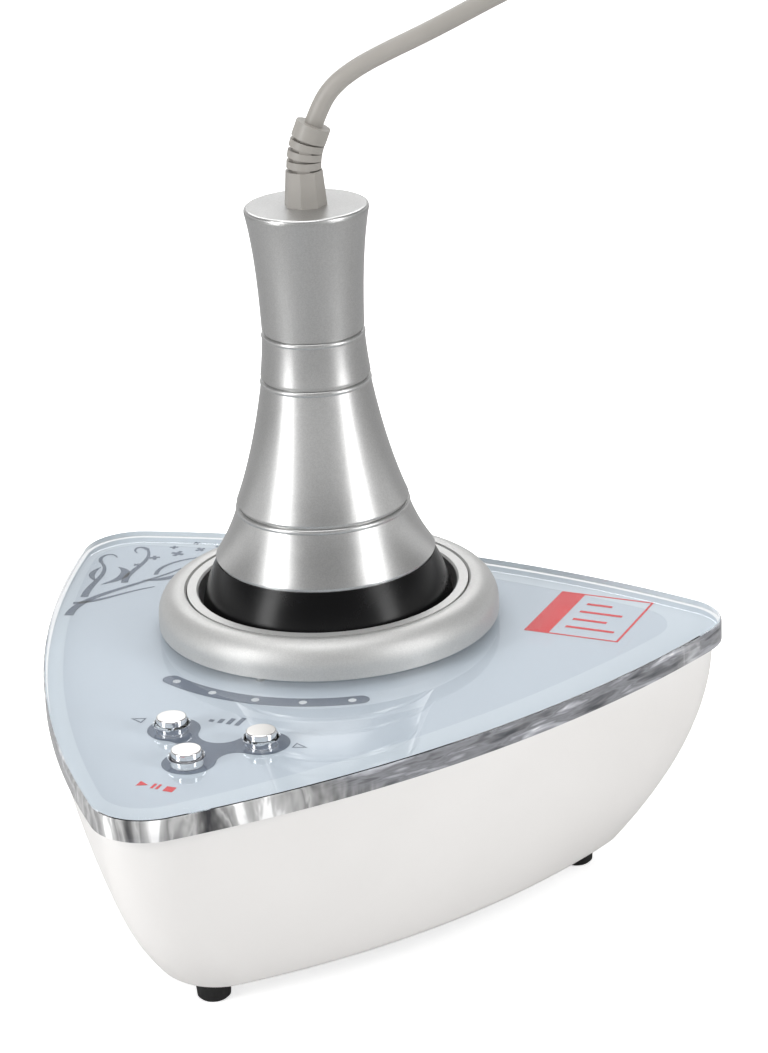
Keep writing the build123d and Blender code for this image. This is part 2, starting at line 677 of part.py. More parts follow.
# Feet, bottom cover and their screws
foot_bore_r = SCREW_HEAD_R + SCREW_CLEAR
foot_seat_z = FOOT_HEIGHT / 2
foot = turned(
    Polyline(
        (SCREW_R + SCREW_CLEAR, FOOT_HEIGHT),
        (SCREW_R + SCREW_CLEAR, foot_seat_z),
        (foot_bore_r, foot_seat_z),
        (foot_bore_r, 0),
        (FOOT_LOW_R - FOOT_EDGE, 0),
        (FOOT_LOW_R, FOOT_EDGE),
        (FOOT_TOP_R, FOOT_HEIGHT),
        close=True,
    )
)
foot_places = [Pos(place.X, place.Y, 0) for place in foot_spots()]
foot_screw = Pos(0, 0, foot_seat_z) * screw(SCREW_LONG + foot_seat_z - SLIP)
parts["rubber_feet"] = group([place * foot for place in foot_places])
parts["foot_screws"] = group([place * foot_screw for place in foot_places])
cover = prism(COVER_TIP, COVER_SIDE, COVER_CORNER, cover_low_z, cover_top_z)
board_low_z = cover_top_z + MAIN_BOARD_RISE
board_top_z = board_low_z + BOARD_THICK
board_holes = [
    Vector(sx * (MAIN_BOARD_X / 2 - MAIN_HOLE_INSET), CASE_Y + sy * (MAIN_BOARD_Y / 2 - MAIN_HOLE_INSET))
    for sx in (-1, 1)
    for sy in (-1, 1)
]
for place in board_holes:
    cover += disc_at(place.X, place.Y, COVER_BOSS_R, cover_top_z, board_low_z)
    cover -= disc_at(place.X, place.Y, SCREW_R, cover_top_z, board_low_z)
for place in corner_places(COVER_BOSS_REACH):
    cover -= disc_at(place.X, place.Y, SCREW_R + SCREW_CLEAR, cover_low_z, cover_top_z)
for row in range(VENT_COUNT):
    y = CASE_Y + (row - (VENT_COUNT - 1) / 2) * VENT_PITCH
    slot = extrude(SlotOverall(VENT_LONG, VENT_WIDE), COVER_THICK)
    cover -= Pos(0, y, cover_low_z) * slot
parts["bottom_cover"] = cover
case_screw = screw(SCREW_LONG - SLIP)
turned_over = Rot(HALF_TURN, 0, 0)
cover_screws = [Pos(place.X, place.Y, cover_low_z) * case_screw for place in corner_places(COVER_BOSS_REACH)]
deck_screws = [
    Pos(place.X, place.Y, BODY_TOP_Z - SCREW_HEAD) * turned_over * case_screw
    for place in corner_places(DECK_BOSS_REACH)
]
parts["case_screws"] = group(cover_screws + deck_screws)

# Main board and what it carries
main_board = block(0, CASE_Y, board_low_z, MAIN_BOARD_X, MAIN_BOARD_Y, BOARD_THICK)
for place in board_holes:
    main_board -= disc_at(place.X, place.Y, SCREW_R + SCREW_CLEAR, board_low_z, board_top_z)
parts["driver_board"] = main_board
small_screws += [Pos(place.X, place.Y, board_top_z) * turned_over * short_screw for place in board_holes]
core_x = CORE_SHIFT_X
core_y = CASE_Y + CORE_SHIFT_Y
core = block(core_x, core_y, board_top_z, CORE_X, CORE_Y - 2 * WINDING_SWELL, CORE_Z)
window_x = (CORE_X - 3 * CORE_LEG) / 2
for side in (-1, 1):
    window_mid = core_x + side * (CORE_LEG + window_x) / 2
    core -= block(window_mid, core_y, board_top_z + CORE_LEG, window_x, CORE_Y, CORE_Z - 2 * CORE_LEG)
parts["transformer_core"] = core
winding = block(
    core_x,
    core_y,
    board_top_z + CORE_LEG + FIT,
    CORE_X - 2 * CORE_LEG - 2 * FIT,
    CORE_Y,
    CORE_Z - 2 * CORE_LEG - 2 * FIT,
)
winding = fillet(winding.edges().filter_by(Axis.Z), WINDING_SWELL)
core_room_y = CORE_Y - 2 * WINDING_SWELL + 2 * FIT
winding -= block(core_x, core_y, board_top_z, CORE_LEG + 2 * FIT, core_room_y, CORE_Z)
parts["transformer_winding"] = winding
sink_x = MAIN_BOARD_X / 2 - SINK_Y / 2 - MAIN_HOLE_INSET - SCREW_HEAD_R - SLIP
sink = Box(SINK_BASE, MAIN_BOARD_Y / 2, SINK_Z)
sink = Pos(-(SINK_Y - SINK_BASE) / 2, 0, 0) * sink
fin_step = (MAIN_BOARD_Y / 2 - SINK_FIN) / (SINK_FIN_COUNT - 1)
for n in range(SINK_FIN_COUNT):
    sink += Pos(0, (n - (SINK_FIN_COUNT - 1) / 2) * fin_step, 0) * Box(SINK_Y, SINK_FIN, SINK_Z)
sink_place = Pos(sink_x, CASE_Y, board_top_z + SINK_Z / 2)
parts["heat_sink"] = sink_place * sink
sink_back_x = sink_x - SINK_Y / 2
transistor_shift = TRANSISTOR_X / 2 + SINK_FIN
transistor_x = sink_back_x - TRANSISTOR_Y / 2
transistors = [
    block(transistor_x, y, board_top_z, TRANSISTOR_Y, TRANSISTOR_X, TRANSISTOR_Z)
    for y in (CASE_Y - transistor_shift, CASE_Y + transistor_shift)
]
parts["power_transistors"] = group(transistors)
cap_y = CASE_Y - MAIN_BOARD_Y / 2 + CAPACITOR_R + SLIP
cap_places = [(CAPACITOR_X + side * (CAPACITOR_R + SLIP), cap_y) for side in (-1, 1)]
can = ring(0, CAPACITOR_R, 0, CAPACITOR_LONG)
can = fillet(can.edges().group_by(Axis.Z)[-1], SINK_FIN / 2)
parts["capacitors"] = group([Pos(x, y, board_top_z) * can for x, y in cap_places])
terminal_y = CASE_Y + MAIN_BOARD_Y / 2 - TERMINAL_Y / 2
terminal_places = [side * (TERMINAL_X / 2 + SLIP) for side in (-1, 1)]
terminal = block(0, 0, 0, TERMINAL_X, TERMINAL_Y, TERMINAL_Z)
for side in (-1, 1):
    terminal -= disc_at(side * TERMINAL_X / 4, 0, SCREW_DRIVE, TERMINAL_Z - SCREW_HEAD, TERMINAL_Z)
parts["terminal_blocks"] = group([Pos(x, terminal_y, board_top_z) * terminal for x in terminal_places])
header_x = HEADER_PLACE_X
header_y = CASE_Y - MAIN_BOARD_Y / 2 + HEADER_Y / 2 + SLIP
parts["ribbon_header"] = block(header_x, header_y, board_top_z, HEADER_X, HEADER_Y, HEADER_Z)

# Button board, buttons and lights
half_wide = PANEL_BOARD_WIDE / 2
half_neck = PANEL_BOARD_NECK / 2
nose = PANEL_BOARD_NECK / 5
right_side = [
    (half_wide, PANEL_BOARD_REAR_Y),
    (half_wide, PANEL_BOARD_STEP_Y),
    (half_neck, PANEL_BOARD_WAIST_Y),
    (half_neck, BUTTON_FRONT_Y + BUTTON_R),
    (nose, PANEL_BOARD_FRONT_Y),
]
left_side = [(-x, y) for x, y in reversed(right_side)]
panel_low_z = panel_board_top_z - BOARD_THICK
panel_board = extrude(make_face(Polyline(*right_side, *left_side, close=True)), BOARD_THICK)
panel_board = Pos(PANEL_X, 0, panel_low_z) * panel_board
for place in panel_boss_places:
    panel_board -= disc_at(place.X, place.Y, SCREW_R + SCREW_CLEAR, panel_low_z, panel_board_top_z)
parts["button_board"] = panel_board
small_screws += [Pos(place.X, place.Y, panel_low_z) * short_screw for place in panel_boss_places]
parts["board_screws"] = group(small_screws)
flange_top_z = DECK_Z - SLIP
flange_low_z = flange_top_z - BUTTON_FLANGE_THICK
button_top_z = PLATE_TOP_Z + BUTTON_PROUD
for name, place in button_places.items():
    cap = ring(0, BUTTON_R, flange_top_z, button_top_z)
    cap = fillet(cap.edges().group_by(Axis.Z)[-1], BUTTON_EDGE)
    cap += ring(0, BUTTON_FLANGE_R, flange_low_z, flange_top_z)
    cap += ring(0, PLUNGER_R, flange_low_z - PLUNGER_LONG, flange_low_z)
    parts["button_" + name] = Pos(place.X, place.Y, 0) * cap
switches = []
for place in button_places.values():
    body = block(place.X, place.Y, panel_board_top_z, SWITCH_SIDE, SWITCH_SIDE, SWITCH_HEIGHT)
    bore_low = flange_low_z - PLUNGER_LONG - BUTTON_TRAVEL - SLIP
    body -= disc_at(place.X, place.Y, PLUNGER_R + SLIP, bore_low, switch_top_z)
    switches.append(body)
parts["key_switches"] = group(switches)
led_base_z = BODY_TOP_Z - LED_LONG - LED_R - SLIP
lights = []
windows = []
for place in led_places:
    light = ring(0, LED_R, led_base_z, led_base_z + LED_LONG)
    light = fillet(light.edges().group_by(Axis.Z)[-1], LED_R - SLIP)
    light += ring(0, LED_RIM_R, led_base_z, led_base_z + LED_RIM)
    for side in (-1, 1):
        light += disc_at(side * LED_LEG_OUT, 0, LED_LEG_R, panel_board_top_z, led_base_z)
    lights.append(Pos(place.X, place.Y, 0) * light)
    windows.append(disc_at(place.X, place.Y, LED_WINDOW_R, BODY_TOP_Z, FILM_TOP_Z))
parts["level_lights"] = group(lights)
parts["light_windows"] = group(windows)

# Inner wiring
ribbon_x = header_x
ribbon_top_y = PANEL_BOARD_STEP_Y + RIBBON_WIDE / 2
ribbon_low_z = board_top_z + HEADER_Z
ribbon_fall = panel_low_z - ribbon_low_z
ribbon_high_bend_z = ribbon_low_z + ribbon_fall * RIBBON_HIGH_BEND_SHARE
ribbon_low_bend_z = ribbon_low_z + ribbon_fall * RIBBON_LOW_BEND_SHARE
ribbon_path = FilletPolyline(
    (ribbon_x, ribbon_top_y, panel_low_z),
    (ribbon_x, ribbon_top_y, ribbon_high_bend_z),
    (ribbon_x, header_y, ribbon_low_bend_z),
    (ribbon_x, header_y, ribbon_low_z),
    radius=RIBBON_WIDE / 2,
)
ribbon_section = Plane(origin=ribbon_path @ 0, x_dir=(1, 0, 0), z_dir=ribbon_path % 0) * Rectangle(
    RIBBON_WIDE, RIBBON_THICK
)
parts["ribbon_cable"] = sweep(ribbon_section, path=ribbon_path)


def wire_along(points, radius, bend):
    path = FilletPolyline(*points, radius=bend)
    section = Plane(origin=path @ 0, z_dir=path % 0) * Circle(radius)
    return sweep(section, path=path)


terminal_top_z = board_top_z + TERMINAL_Z
wire_bend = 3 * WIRE_R
inner_wires = []
for place, (blade_x, rise) in zip((-1, 1), (blade_places[0], blade_places[2])):
    end_x = terminal_places[0] + place * TERMINAL_X / 4
    start_z = BAY_MIDDLE_Z + rise
    inner_wires.append(
        wire_along(
            [
                (blade_x, inlet_back_y, start_z),
                (blade_x, inlet_back_y - 2 * wire_bend, start_z),
                (end_x, terminal_y, start_z),
                (end_x, terminal_y, terminal_top_z),
            ],
            WIRE_R,
            wire_bend,
        )
    )
socket_back_y = BAY_FACE_Y - SOCKET_DEEP
for side in (-1, 1):
    end_x = terminal_places[1] + side * TERMINAL_X / 4
    start_x = SOCKET_X + side * CONTACT_RING_R
    inner_wires.append(
        wire_along(
            [
                (start_x, socket_back_y, BAY_MIDDLE_Z),
                (start_x, socket_back_y - 2 * wire_bend, BAY_MIDDLE_Z),
                (end_x, terminal_y, BAY_MIDDLE_Z + wire_bend),
                (end_x, terminal_y, terminal_top_z),
            ],
            WIRE_R,
            wire_bend,
        )
    )
parts["inner_wires"] = group(inner_wires)

# Holder ring, collar and pad
round_low = RING_WALL_HEIGHT
round_in_r = RING_R - RING_ROUND_WIDE
round_high = RING_HEIGHT - round_low
shoulder = EllipticalCenterArc((round_in_r, round_low), RING_ROUND_WIDE, round_high, arc_size=FULL_TURN / 4)
ring_in_r = COLLAR_R + FIT
holder = turned(
    shoulder
    + Polyline(
        (round_in_r, RING_HEIGHT),
        (ring_in_r + GROOVE, RING_HEIGHT - GROOVE / 2),
        (ring_in_r, RING_HEIGHT - 2 * GROOVE),
        (ring_in_r, 0),
        (RING_R, 0),
        (RING_R, round_low),
    )
)
ring_screw_deep = RING_SCREW_LONG - PLATE_THICK - FILM_THICK - DECK_THICK
for place in ring_screw_places:
    holder -= disc_at(place.X - RING_X, place.Y - RING_Y, SCREW_R, 0, ring_screw_deep + SLIP)
parts["holder_ring"] = on_plate * holder
parts["ring_screws"] = group(
    [Pos(place.X, place.Y, DECK_Z) * screw(RING_SCREW_LONG) for place in ring_screw_places]
)
collar = turned(
    Polyline(
        (COLLAR_FOOT_R, 0),
        (COLLAR_R, 0),
        (COLLAR_R, COLLAR_HEIGHT),
        (COLLAR_HOLE_R + GROOVE, COLLAR_HEIGHT),
        (COLLAR_HOLE_R, COLLAR_HEIGHT - GROOVE),
        (COLLAR_HOLE_R, PAD_THICK + SLIP),
        (COLLAR_FOOT_R, PAD_THICK + SLIP),
        close=True,
    )
)
parts["holder_collar"] = on_plate * collar
parts["holder_pad"] = on_plate * fillet(
    ring(0, PAD_R, 0, PAD_THICK).edges().group_by(Axis.Z)[-1], GROOVE
)

# Handpiece casing, from the cap down


def curved_shell(top, bend, low, wall):
    """A thin turned wall whose outside runs through one bend, with its top outer edge broken."""
    (top_r, top_z), (bend_r, bend_z), (low_r, low_z) = top, bend, low
    outside = Bezier((top_r, top_z - JOINT_EDGE), (bend_r, bend_z), (low_r, low_z))
    inside = Bezier((low_r - wall, low_z), (bend_r - wall, bend_z), (top_r - wall, top_z))
    lip = Polyline((top_r - wall, top_z), (top_r - JOINT_EDGE, top_z), (top_r, top_z - JOINT_EDGE))
    foot_line = Line((low_r, low_z), (low_r - wall, low_z))
    return turned(outside + foot_line + inside + lip)


def spigot(joint_z, above_in_r, below_in_r):
    """A short sleeve that hangs from an upper piece into the piece below it."""
    out_r = below_in_r - FIT
    in_r = out_r - SPIGOT_WALL
    sleeve = ring(in_r, out_r, joint_z - SPIGOT_LONG, joint_z)
    return sleeve + ring(in_r, above_in_r + FIT, joint_z, joint_z + SPIGOT_WALL)


handle_top_z = CAP_Z - CAP_THICK
handle = curved_shell(
    (CAP_R, handle_top_z + JOINT_EDGE), (HANDLE_BEND_R, HANDLE_BEND_Z), (WAIST_R, WAIST_Z), HANDLE_WALL
)
handle -= ring(0, 2 * CAP_R, handle_top_z, CAP_Z)
band_top_r = WAIST_R + GROOVE / 2
band_bend = ((band_top_r + BAND_LOW_R) / 2 - GROOVE / 2, (WAIST_Z + BAND_LOW_Z) / 2)
band = curved_shell((band_top_r, WAIST_Z), band_bend, (BAND_LOW_R, BAND_LOW_Z), HANDLE_WALL)
bell = curved_shell(
    (BAND_LOW_R + GROOVE / 2, BAND_LOW_Z), (BELL_BEND_R, BELL_BEND_Z), (BELL_LOW_R, BELL_LOW_Z), HANDLE_WALL
)
skirt = curved_shell(
    (BELL_LOW_R + GROOVE, BELL_LOW_Z), (SKIRT_BEND_R, SKIRT_BEND_Z), (SKIRT_LOW_R, SKIRT_LOW_Z), HANDLE_WALL
)
handle += spigot(WAIST_Z, WAIST_R - HANDLE_WALL, band_top_r - HANDLE_WALL)
band += spigot(BAND_LOW_Z, BAND_LOW_R - HANDLE_WALL, BAND_LOW_R + GROOVE / 2 - HANDLE_WALL)
bell += spigot(BELL_LOW_Z, BELL_LOW_R - HANDLE_WALL, BELL_LOW_R + GROOVE - HANDLE_WALL)
head_ring_in_r = HEAD_RING_TOP_R - HANDLE_WALL - GROOVE
skirt += spigot(SKIRT_LOW_Z, SKIRT_LOW_R - HANDLE_WALL, head_ring_in_r)
neck_r = RELIEF_TAIL_R + FIT
cap = ring(neck_r, CAP_R, handle_top_z, CAP_Z)
cap = fillet(cap.edges().group_by(Axis.Z)[-1].sort_by(SortBy.RADIUS)[-1], CAP_ROUND)
cap_spigot_r = CAP_R - HANDLE_WALL - 2 * GROOVE
cap += ring(cap_spigot_r - SPIGOT_WALL, cap_spigot_r, handle_top_z - SPIGOT_LONG, handle_top_z)
parts["end_cap"] = on_plate * cap
parts["handle_shell"] = on_plate * handle
parts["grip_band"] = on_plate * band
parts["bell_shell"] = on_plate * bell
parts["skirt_shell"] = on_plate * skirt

# Black head ring, treatment head, seal and sound stack
head_face_z = PAD_THICK
head_top_z = head_face_z + HEAD_RIM
head_seat_z = head_top_z + SEAL_THICK
ring_low_in_r = HEAD_R + FIT
head_ring = turned(
    Bezier(
        (HEAD_RING_TOP_R, SKIRT_LOW_Z),
        (HEAD_RING_BEND_R, HEAD_RING_BEND_Z),
        (HEAD_RING_LOW_R, HEAD_RING_LOW_Z),
    )
    + Polyline(
        (HEAD_RING_LOW_R, HEAD_RING_LOW_Z),
        (ring_low_in_r, HEAD_RING_LOW_Z),
        (ring_low_in_r, head_seat_z),
        (ring_low_in_r - 2 * HEAD_SEAT_WIDE, head_seat_z),
        (head_ring_in_r, SKIRT_LOW_Z - SPIGOT_LONG - SLIP),
        (head_ring_in_r, SKIRT_LOW_Z),
        (HEAD_RING_TOP_R, SKIRT_LOW_Z),
    )
)
parts["head_ring"] = on_plate * head_ring
head = turned(
    Polyline(
        (0, head_face_z),
        (HEAD_R - HEAD_EDGE, head_face_z),
        (HEAD_R, head_face_z + HEAD_EDGE),
        (HEAD_R, head_top_z),
        (FRONT_MASS_LOW_R, head_top_z),
        (FRONT_MASS_TOP_R, FRONT_MASS_TOP_Z),
        (BOLT_R + FIT, FRONT_MASS_TOP_Z),
        (BOLT_R + FIT, FRONT_MASS_TOP_Z - BOLT_DEEP - SLIP),
        (0, FRONT_MASS_TOP_Z - BOLT_DEEP - SLIP),
        close=True,
    )
)
parts["treatment_head"] = on_plate * head
seal_in_r = HEAD_R - 2 * HEAD_SEAT_WIDE + SLIP
parts["head_seal"] = on_plate * ring(seal_in_r, HEAD_R - SLIP, head_top_z, head_seat_z)

ceramics = []
electrodes = []
height = FRONT_MASS_TOP_Z
for number in range(2):
    tab_mid = CERAMIC_R + ELECTRODE_TAB / 2
    tab_long = ELECTRODE_TAB + CERAMIC_THICK
    tab = block(tab_mid, 0, height, tab_long, ELECTRODE_TAB_WIDE, ELECTRODE_THICK)
    tab = Rot(0, 0, number * HALF_TURN) * tab
    electrode = ring(CERAMIC_HOLE_R, CERAMIC_R, height, height + ELECTRODE_THICK)
    electrodes.append(electrode + tab)
    height += ELECTRODE_THICK
    ceramics.append(ring(CERAMIC_HOLE_R, CERAMIC_R, height, height + CERAMIC_THICK))
    height += CERAMIC_THICK
back_mass_z = height
back_mass_top_z = back_mass_z + BACK_MASS_LONG
parts["ceramic_rings"] = on_plate * group(ceramics)
parts["electrodes"] = on_plate * group(electrodes)
parts["back_mass"] = on_plate * ring(BOLT_R + FIT, BACK_MASS_R, back_mass_z, back_mass_top_z)
clamp_bolt = ring(0, BOLT_R, FRONT_MASS_TOP_Z - BOLT_DEEP, back_mass_top_z)
clamp_bolt += ring(0, BOLT_HEAD_R, back_mass_top_z, back_mass_top_z + BOLT_HEAD_LONG)
hex_key = extrude(RegularPolygon(BOLT_SOCKET_R, 6), BOLT_HEAD_LONG)
hex_key = Pos(0, 0, back_mass_top_z + BOLT_HEAD_LONG / 2) * hex_key
parts["clamp_bolt"] = on_plate * (clamp_bolt - hex_key)

# Strain relief that leans towards the cable's way out
plan_turn = Rot(0, 0, PLAN_ANGLE)
relief_low_z = CAP_Z
relief_neck_z = relief_low_z + RELIEF_BASE_LONG
facet_turn = Rot(0, 0, RELIEF_FACET_TURN)
base_low = Pos(0, 0, relief_low_z) * facet_turn * RegularPolygon(RELIEF_BASE_R, 8)
base_top = Pos(0, 0, relief_neck_z) * facet_turn * RegularPolygon(RELIEF_NECK_R, 8)
relief = loft([base_low, base_top], ruled=True)
relief += ring(0, RELIEF_TAIL_R, relief_low_z - RELIEF_TAIL_LONG, relief_low_z)


def lean_place(lean):
    """The strain relief's axis, bent towards +X by this many degrees from straight up."""
    turn = math.radians(lean)
    shift = RELIEF_BEND_R * (1 - math.cos(turn))
    rise = RELIEF_BEND_R * math.sin(turn)
    return Pos(shift, 0, relief_neck_z + rise) * Rot(0, lean, 0)


bend_path = Wire(
    [ThreePointArc(*[lean_place(RELIEF_LEAN * share).position for share in (0, 1 / 2, 1)])]
)
relief += sweep(Pos(0, 0, relief_neck_z) * Circle(RELIEF_CORE_R), path=bend_path)
bend_long = RELIEF_BEND_R * math.radians(RELIEF_LEAN)
slot_long = (bend_long - RELIEF_RIB_COUNT * RELIEF_RIB_THICK) / (RELIEF_RIB_COUNT + 1)
rib_step = RELIEF_RIB_THICK + slot_long
rib = disc_at(0, 0, RELIEF_RIB_R, -RELIEF_RIB_THICK / 2, RELIEF_RIB_THICK / 2)
bridge_block = Box(RELIEF_BRIDGE_WIDE, 2 * RELIEF_RIB_R, 2 * slot_long)
bridge_r = RELIEF_RIB_R - RELIEF_BRIDGE_STEP
bridge = bridge_block & disc_at(0, 0, bridge_r, -slot_long, slot_long)
for number in range(RELIEF_RIB_COUNT):
    rib_mid = (number + 1) * rib_step - RELIEF_RIB_THICK / 2
    relief += lean_place(RELIEF_LEAN * rib_mid / bend_long) * rib
for number in range(RELIEF_RIB_COUNT + 1):
    slot_mid = number * rib_step + slot_long / 2
    bridge_turn = Rot(0, 0, number * FULL_TURN / 4)
    relief += lean_place(RELIEF_LEAN * slot_mid / bend_long) * bridge_turn * bridge
relief += lean_place(RELIEF_LEAN) * disc_at(0, 0, RELIEF_COLLAR_R, 0, RELIEF_COLLAR_LONG)
parts["strain_relief"] = on_plate * plan_turn * relief
parts["cable_clamp"] = on_plate * ring(neck_r, CLAMP_R, handle_top_z - CLAMP_LONG, handle_top_z)

# Wires from the clamp down to the electrodes
wire_top_z = relief_low_z - RELIEF_TAIL_LONG
stack_wires = []
for number in range(2):
    side = 1 - 2 * number
    tab_z = FRONT_MASS_TOP_Z + ELECTRODE_THICK + number * (ELECTRODE_THICK + CERAMIC_THICK)
    tab_x = side * (CERAMIC_R + ELECTRODE_TAB + WIRE_R - ELECTRODE_THICK)
    turn_z = tab_z + CERAMIC_THICK
    neck_x = side * (BOLT_HEAD_R + 2 * WIRE_R)
    stack_wires.append(
        wire_along(
            [
                (side * RELIEF_TAIL_R / 2, 0, wire_top_z),
                (side * RELIEF_TAIL_R / 2, 0, wire_top_z - SPIGOT_LONG / 2),
                (neck_x, 0, wire_top_z - 2 * SPIGOT_LONG),
                (neck_x, 0, back_mass_top_z + 2 * BOLT_HEAD_LONG),
                (side * (BACK_MASS_R + 2 * WIRE_R), 0, back_mass_top_z),
                (tab_x, 0, turn_z),
                (tab_x, 0, tab_z),
            ],
            WIRE_R / 2,
            wire_bend / 2,
        )
    )
parts["stack_wires"] = on_plate * group(stack_wires)

# The cable: from the strain relief over the top, down beside the machine, coil, plug
exit_place = on_plate * plan_turn * lean_place(RELIEF_LEAN) * Pos(0, 0, RELIEF_COLLAR_LONG)
exit_point = exit_place.position


def arch_point(out, height):
    """A point of the arch, given by its distance from the handpiece's axis and its height."""
    return Vector(RING_X, RING_Y, height) + polar(out, PLAN_ANGLE)


coil_middle = Vector(COIL_X, COIL_Y)
coil_entry = Vector(COIL_X - COIL_R, COIL_Y + COIL_END, CABLE_END_Z)
exit_run = exit_place * Pos(0, 0, ARCH_START_RUN)
arch_route = [exit_point, exit_run.position]
arch_route += [arch_point(out, height) for out, height in ARCH_OUT_AND_UP]
arch_route += [Vector(*point) for point in DROP_POINTS]
arch_route.append(coil_entry)


def cord_path(name, points):
    """Straight runs joined by tangent arcs, each as large as its two runs allow."""
    run_share = 0.45
    radii = []
    for before, here, after in zip(points, points[1:], points[2:]):
        run_in = here - before
        run_out = after - here
        turn = math.radians(run_in.get_angle(run_out))
        radii.append(run_share * min(run_in.length, run_out.length) / math.tan(turn / 2))
    print(name, "arc radii", [round(radius) for radius in radii])
    return FilletPolyline(*points, radius=radii)


def cord_tube(name, path):
    section = Plane(origin=path @ 0, z_dir=path % 0) * Circle(CABLE_R)
    tube = sweep(section, path=path)
    expected = math.pi * CABLE_R**2 * path.length
    print(name, "length", round(path.length), "volume share", round(tube.volume / expected, 4))
    return tube


parts["cable_arch"] = cord_tube("arch", cord_path("arch", arch_route))


def arc_between(start, tangent, end):
    """The arc from one point to another that leaves the first along a tangent."""
    chord = end - start
    lean = tangent.get_angle(chord)
    side = tangent - chord.normalized() * tangent.dot(chord.normalized())
    straight_share = 0.0001
    if side.length < straight_share:
        return Line(start, end)
    rise = chord.length / 2 * math.tan(math.radians(lean) / 2)
    return ThreePointArc(start, (start + end) / 2 + side.normalized() * rise, end)


def biarc(start, tangent, end, end_tangent):
    """Two arcs that join two points with a given direction at each."""
    chord = end - start
    total = tangent + end_tangent
    square = total.dot(total) - 4
    middle = chord.dot(total)
    reach = (middle - math.sqrt(middle * middle - square * chord.dot(chord))) / square
    joint = (start + tangent * reach + end - end_tangent * reach) / 2
    joint_tangent = (end - end_tangent * reach - start - tangent * reach).normalized()
    return [arc_between(start, tangent, joint), arc_between(joint, joint_tangent, end)]


# The coil spirals in for one layer, climbs in half a turn and spirals out again
quarter = FULL_TURN / 4
low_quarters = round(4 * LOW_TURNS)
high_quarters = round(4 * HIGH_TURNS)
climb_quarters = 2
middle_quarters = low_quarters + climb_quarters / 2
coil_start_angle = HALF_TURN
climb_height = COIL_STEP


def coil_state(quarters):
    """The coil's radius and height after so many quarter turns."""
    shrink = COIL_STEP / 4 * (middle_quarters - abs(quarters - middle_quarters))
    share = min(max((quarters - low_quarters) / climb_quarters, 0), 1)
    ease = (1 - math.cos(math.pi * share)) / 2
    return COIL_R - shrink, CABLE_END_Z + climb_height * ease


def coil_place(quarters):
    radius, height = coil_state(quarters)
    return coil_middle + polar(radius, coil_start_angle + quarters * quarter) + Vector(0, 0, height)


total_quarters = low_quarters + climb_quarters + high_quarters
small = 0.01
coil_points = []
coil_tangents = []
for number in range(total_quarters + 1):
    coil_points.append(coil_place(number))
    before = coil_place(max(number - small, 0))
    after = coil_place(min(number + small, total_quarters))
    coil_tangents.append((after - before).normalized())
start_way = polar(1, coil_start_angle + quarter)
end_way = polar(1, coil_start_angle + (total_quarters + 1) * quarter)
coil_tangents[0] = start_way
coil_tangents[-1] = end_way
coil_edges = [Line(coil_points[0] - start_way * COIL_END, coil_points[0])]
for number in range(total_quarters):
    coil_edges += biarc(
        coil_points[number], coil_tangents[number], coil_points[number + 1], coil_tangents[number + 1]
    )
coil_exit = coil_points[-1] + end_way * COIL_END
coil_edges.append(Line(coil_points[-1], coil_exit))
coil_path = Wire(coil_edges)
parts["cable_coil"] = cord_tube("coil", coil_path)

# The coil's least gap to itself, measured on points along its middle line
sample_count = 720
samples = [coil_path @ (n / sample_count) for n in range(sample_count + 1)]
spacing = coil_path.length / sample_count
skip = round(math.pi * COIL_R / 2 / spacing)
least = min(
    (a - b).length for i, a in enumerate(samples) for b in samples[i + skip :]
)
print("coil least gap to itself", round(least - 2 * CABLE_R, 2))

# Tail from the coil to the plug, which lies beside it
tail_mid = coil_exit + end_way * TAIL_RUN
tail_low = Vector(0, 0, PLUG_AXIS_Z - CABLE_END_Z - climb_height)
way = coil_start_angle + (total_quarters + 1) * quarter
tail_next = tail_mid + polar(TAIL_RUN, way + TAIL_TURN / 2) + tail_low
plug_way = polar(1, way + TAIL_TURN)
tail_end = tail_next + plug_way * TAIL_RUN
tail_route = [coil_exit, tail_mid, tail_next, tail_end]
parts["cable_tail"] = cord_tube("tail", cord_path("tail", tail_route))

# Plug: tapered relief, shell, barrel with insert, and a nut that turns freely
plug_turn = Plane(origin=tail_end, z_dir=plug_way)
shell_low = PLUG_RELIEF_LONG
shell_high = shell_low + PLUG_SHELL_LONG
barrel_high = shell_high + PLUG_BARREL_LONG
relief_taper = turned(
    Polyline(
        (0, 0),
        (CABLE_R + 2 * FIT, 0),
        (PLUG_RELIEF_R, shell_low - PLUG_COLLAR_LONG),
        (PLUG_RELIEF_R, shell_low),
        (0, shell_low),
        close=True,
    )
)
relief_step = (PLUG_RELIEF_LONG - 2 * PLUG_COLLAR_LONG) / RELIEF_RIB_COUNT
for number in range(RELIEF_RIB_COUNT + 1):
    low = PLUG_COLLAR_LONG / 2 + number * relief_step
    relief_taper -= ring(CABLE_R + FIT, 2 * PLUG_RELIEF_R, low, low + PLUG_COLLAR_LONG / 3)
parts["plug_relief"] = plug_turn * relief_taper
plug_shell = ring(0, PLUG_SHELL_R, shell_low, shell_high)
plug_shell = fillet(plug_shell.edges().group_by(Axis.Z)[0], PLUG_COLLAR_LONG / 2)
plug_shell += ring(0, PLUG_BARREL_R, shell_high, barrel_high)
plug_shell += ring(0, THREAD_R, shell_high - PLUG_COLLAR_LONG, shell_high)
plug_shell -= ring(0, PLUG_BORE_R + FIT, shell_high, barrel_high)
parts["plug_shell"] = plug_turn * plug_shell
insert = ring(0, PLUG_BORE_R, shell_high, barrel_high - GROOVE)
for n in range(CONTACT_COUNT):
    place = polar(CONTACT_RING_R, (n + 1 / 2) * FULL_TURN / CONTACT_COUNT)
    insert -= disc_at(place.X, place.Y, PLUG_PIN_HOLE_R, shell_high + GROOVE, barrel_high)
parts["plug_insert"] = plug_turn * insert
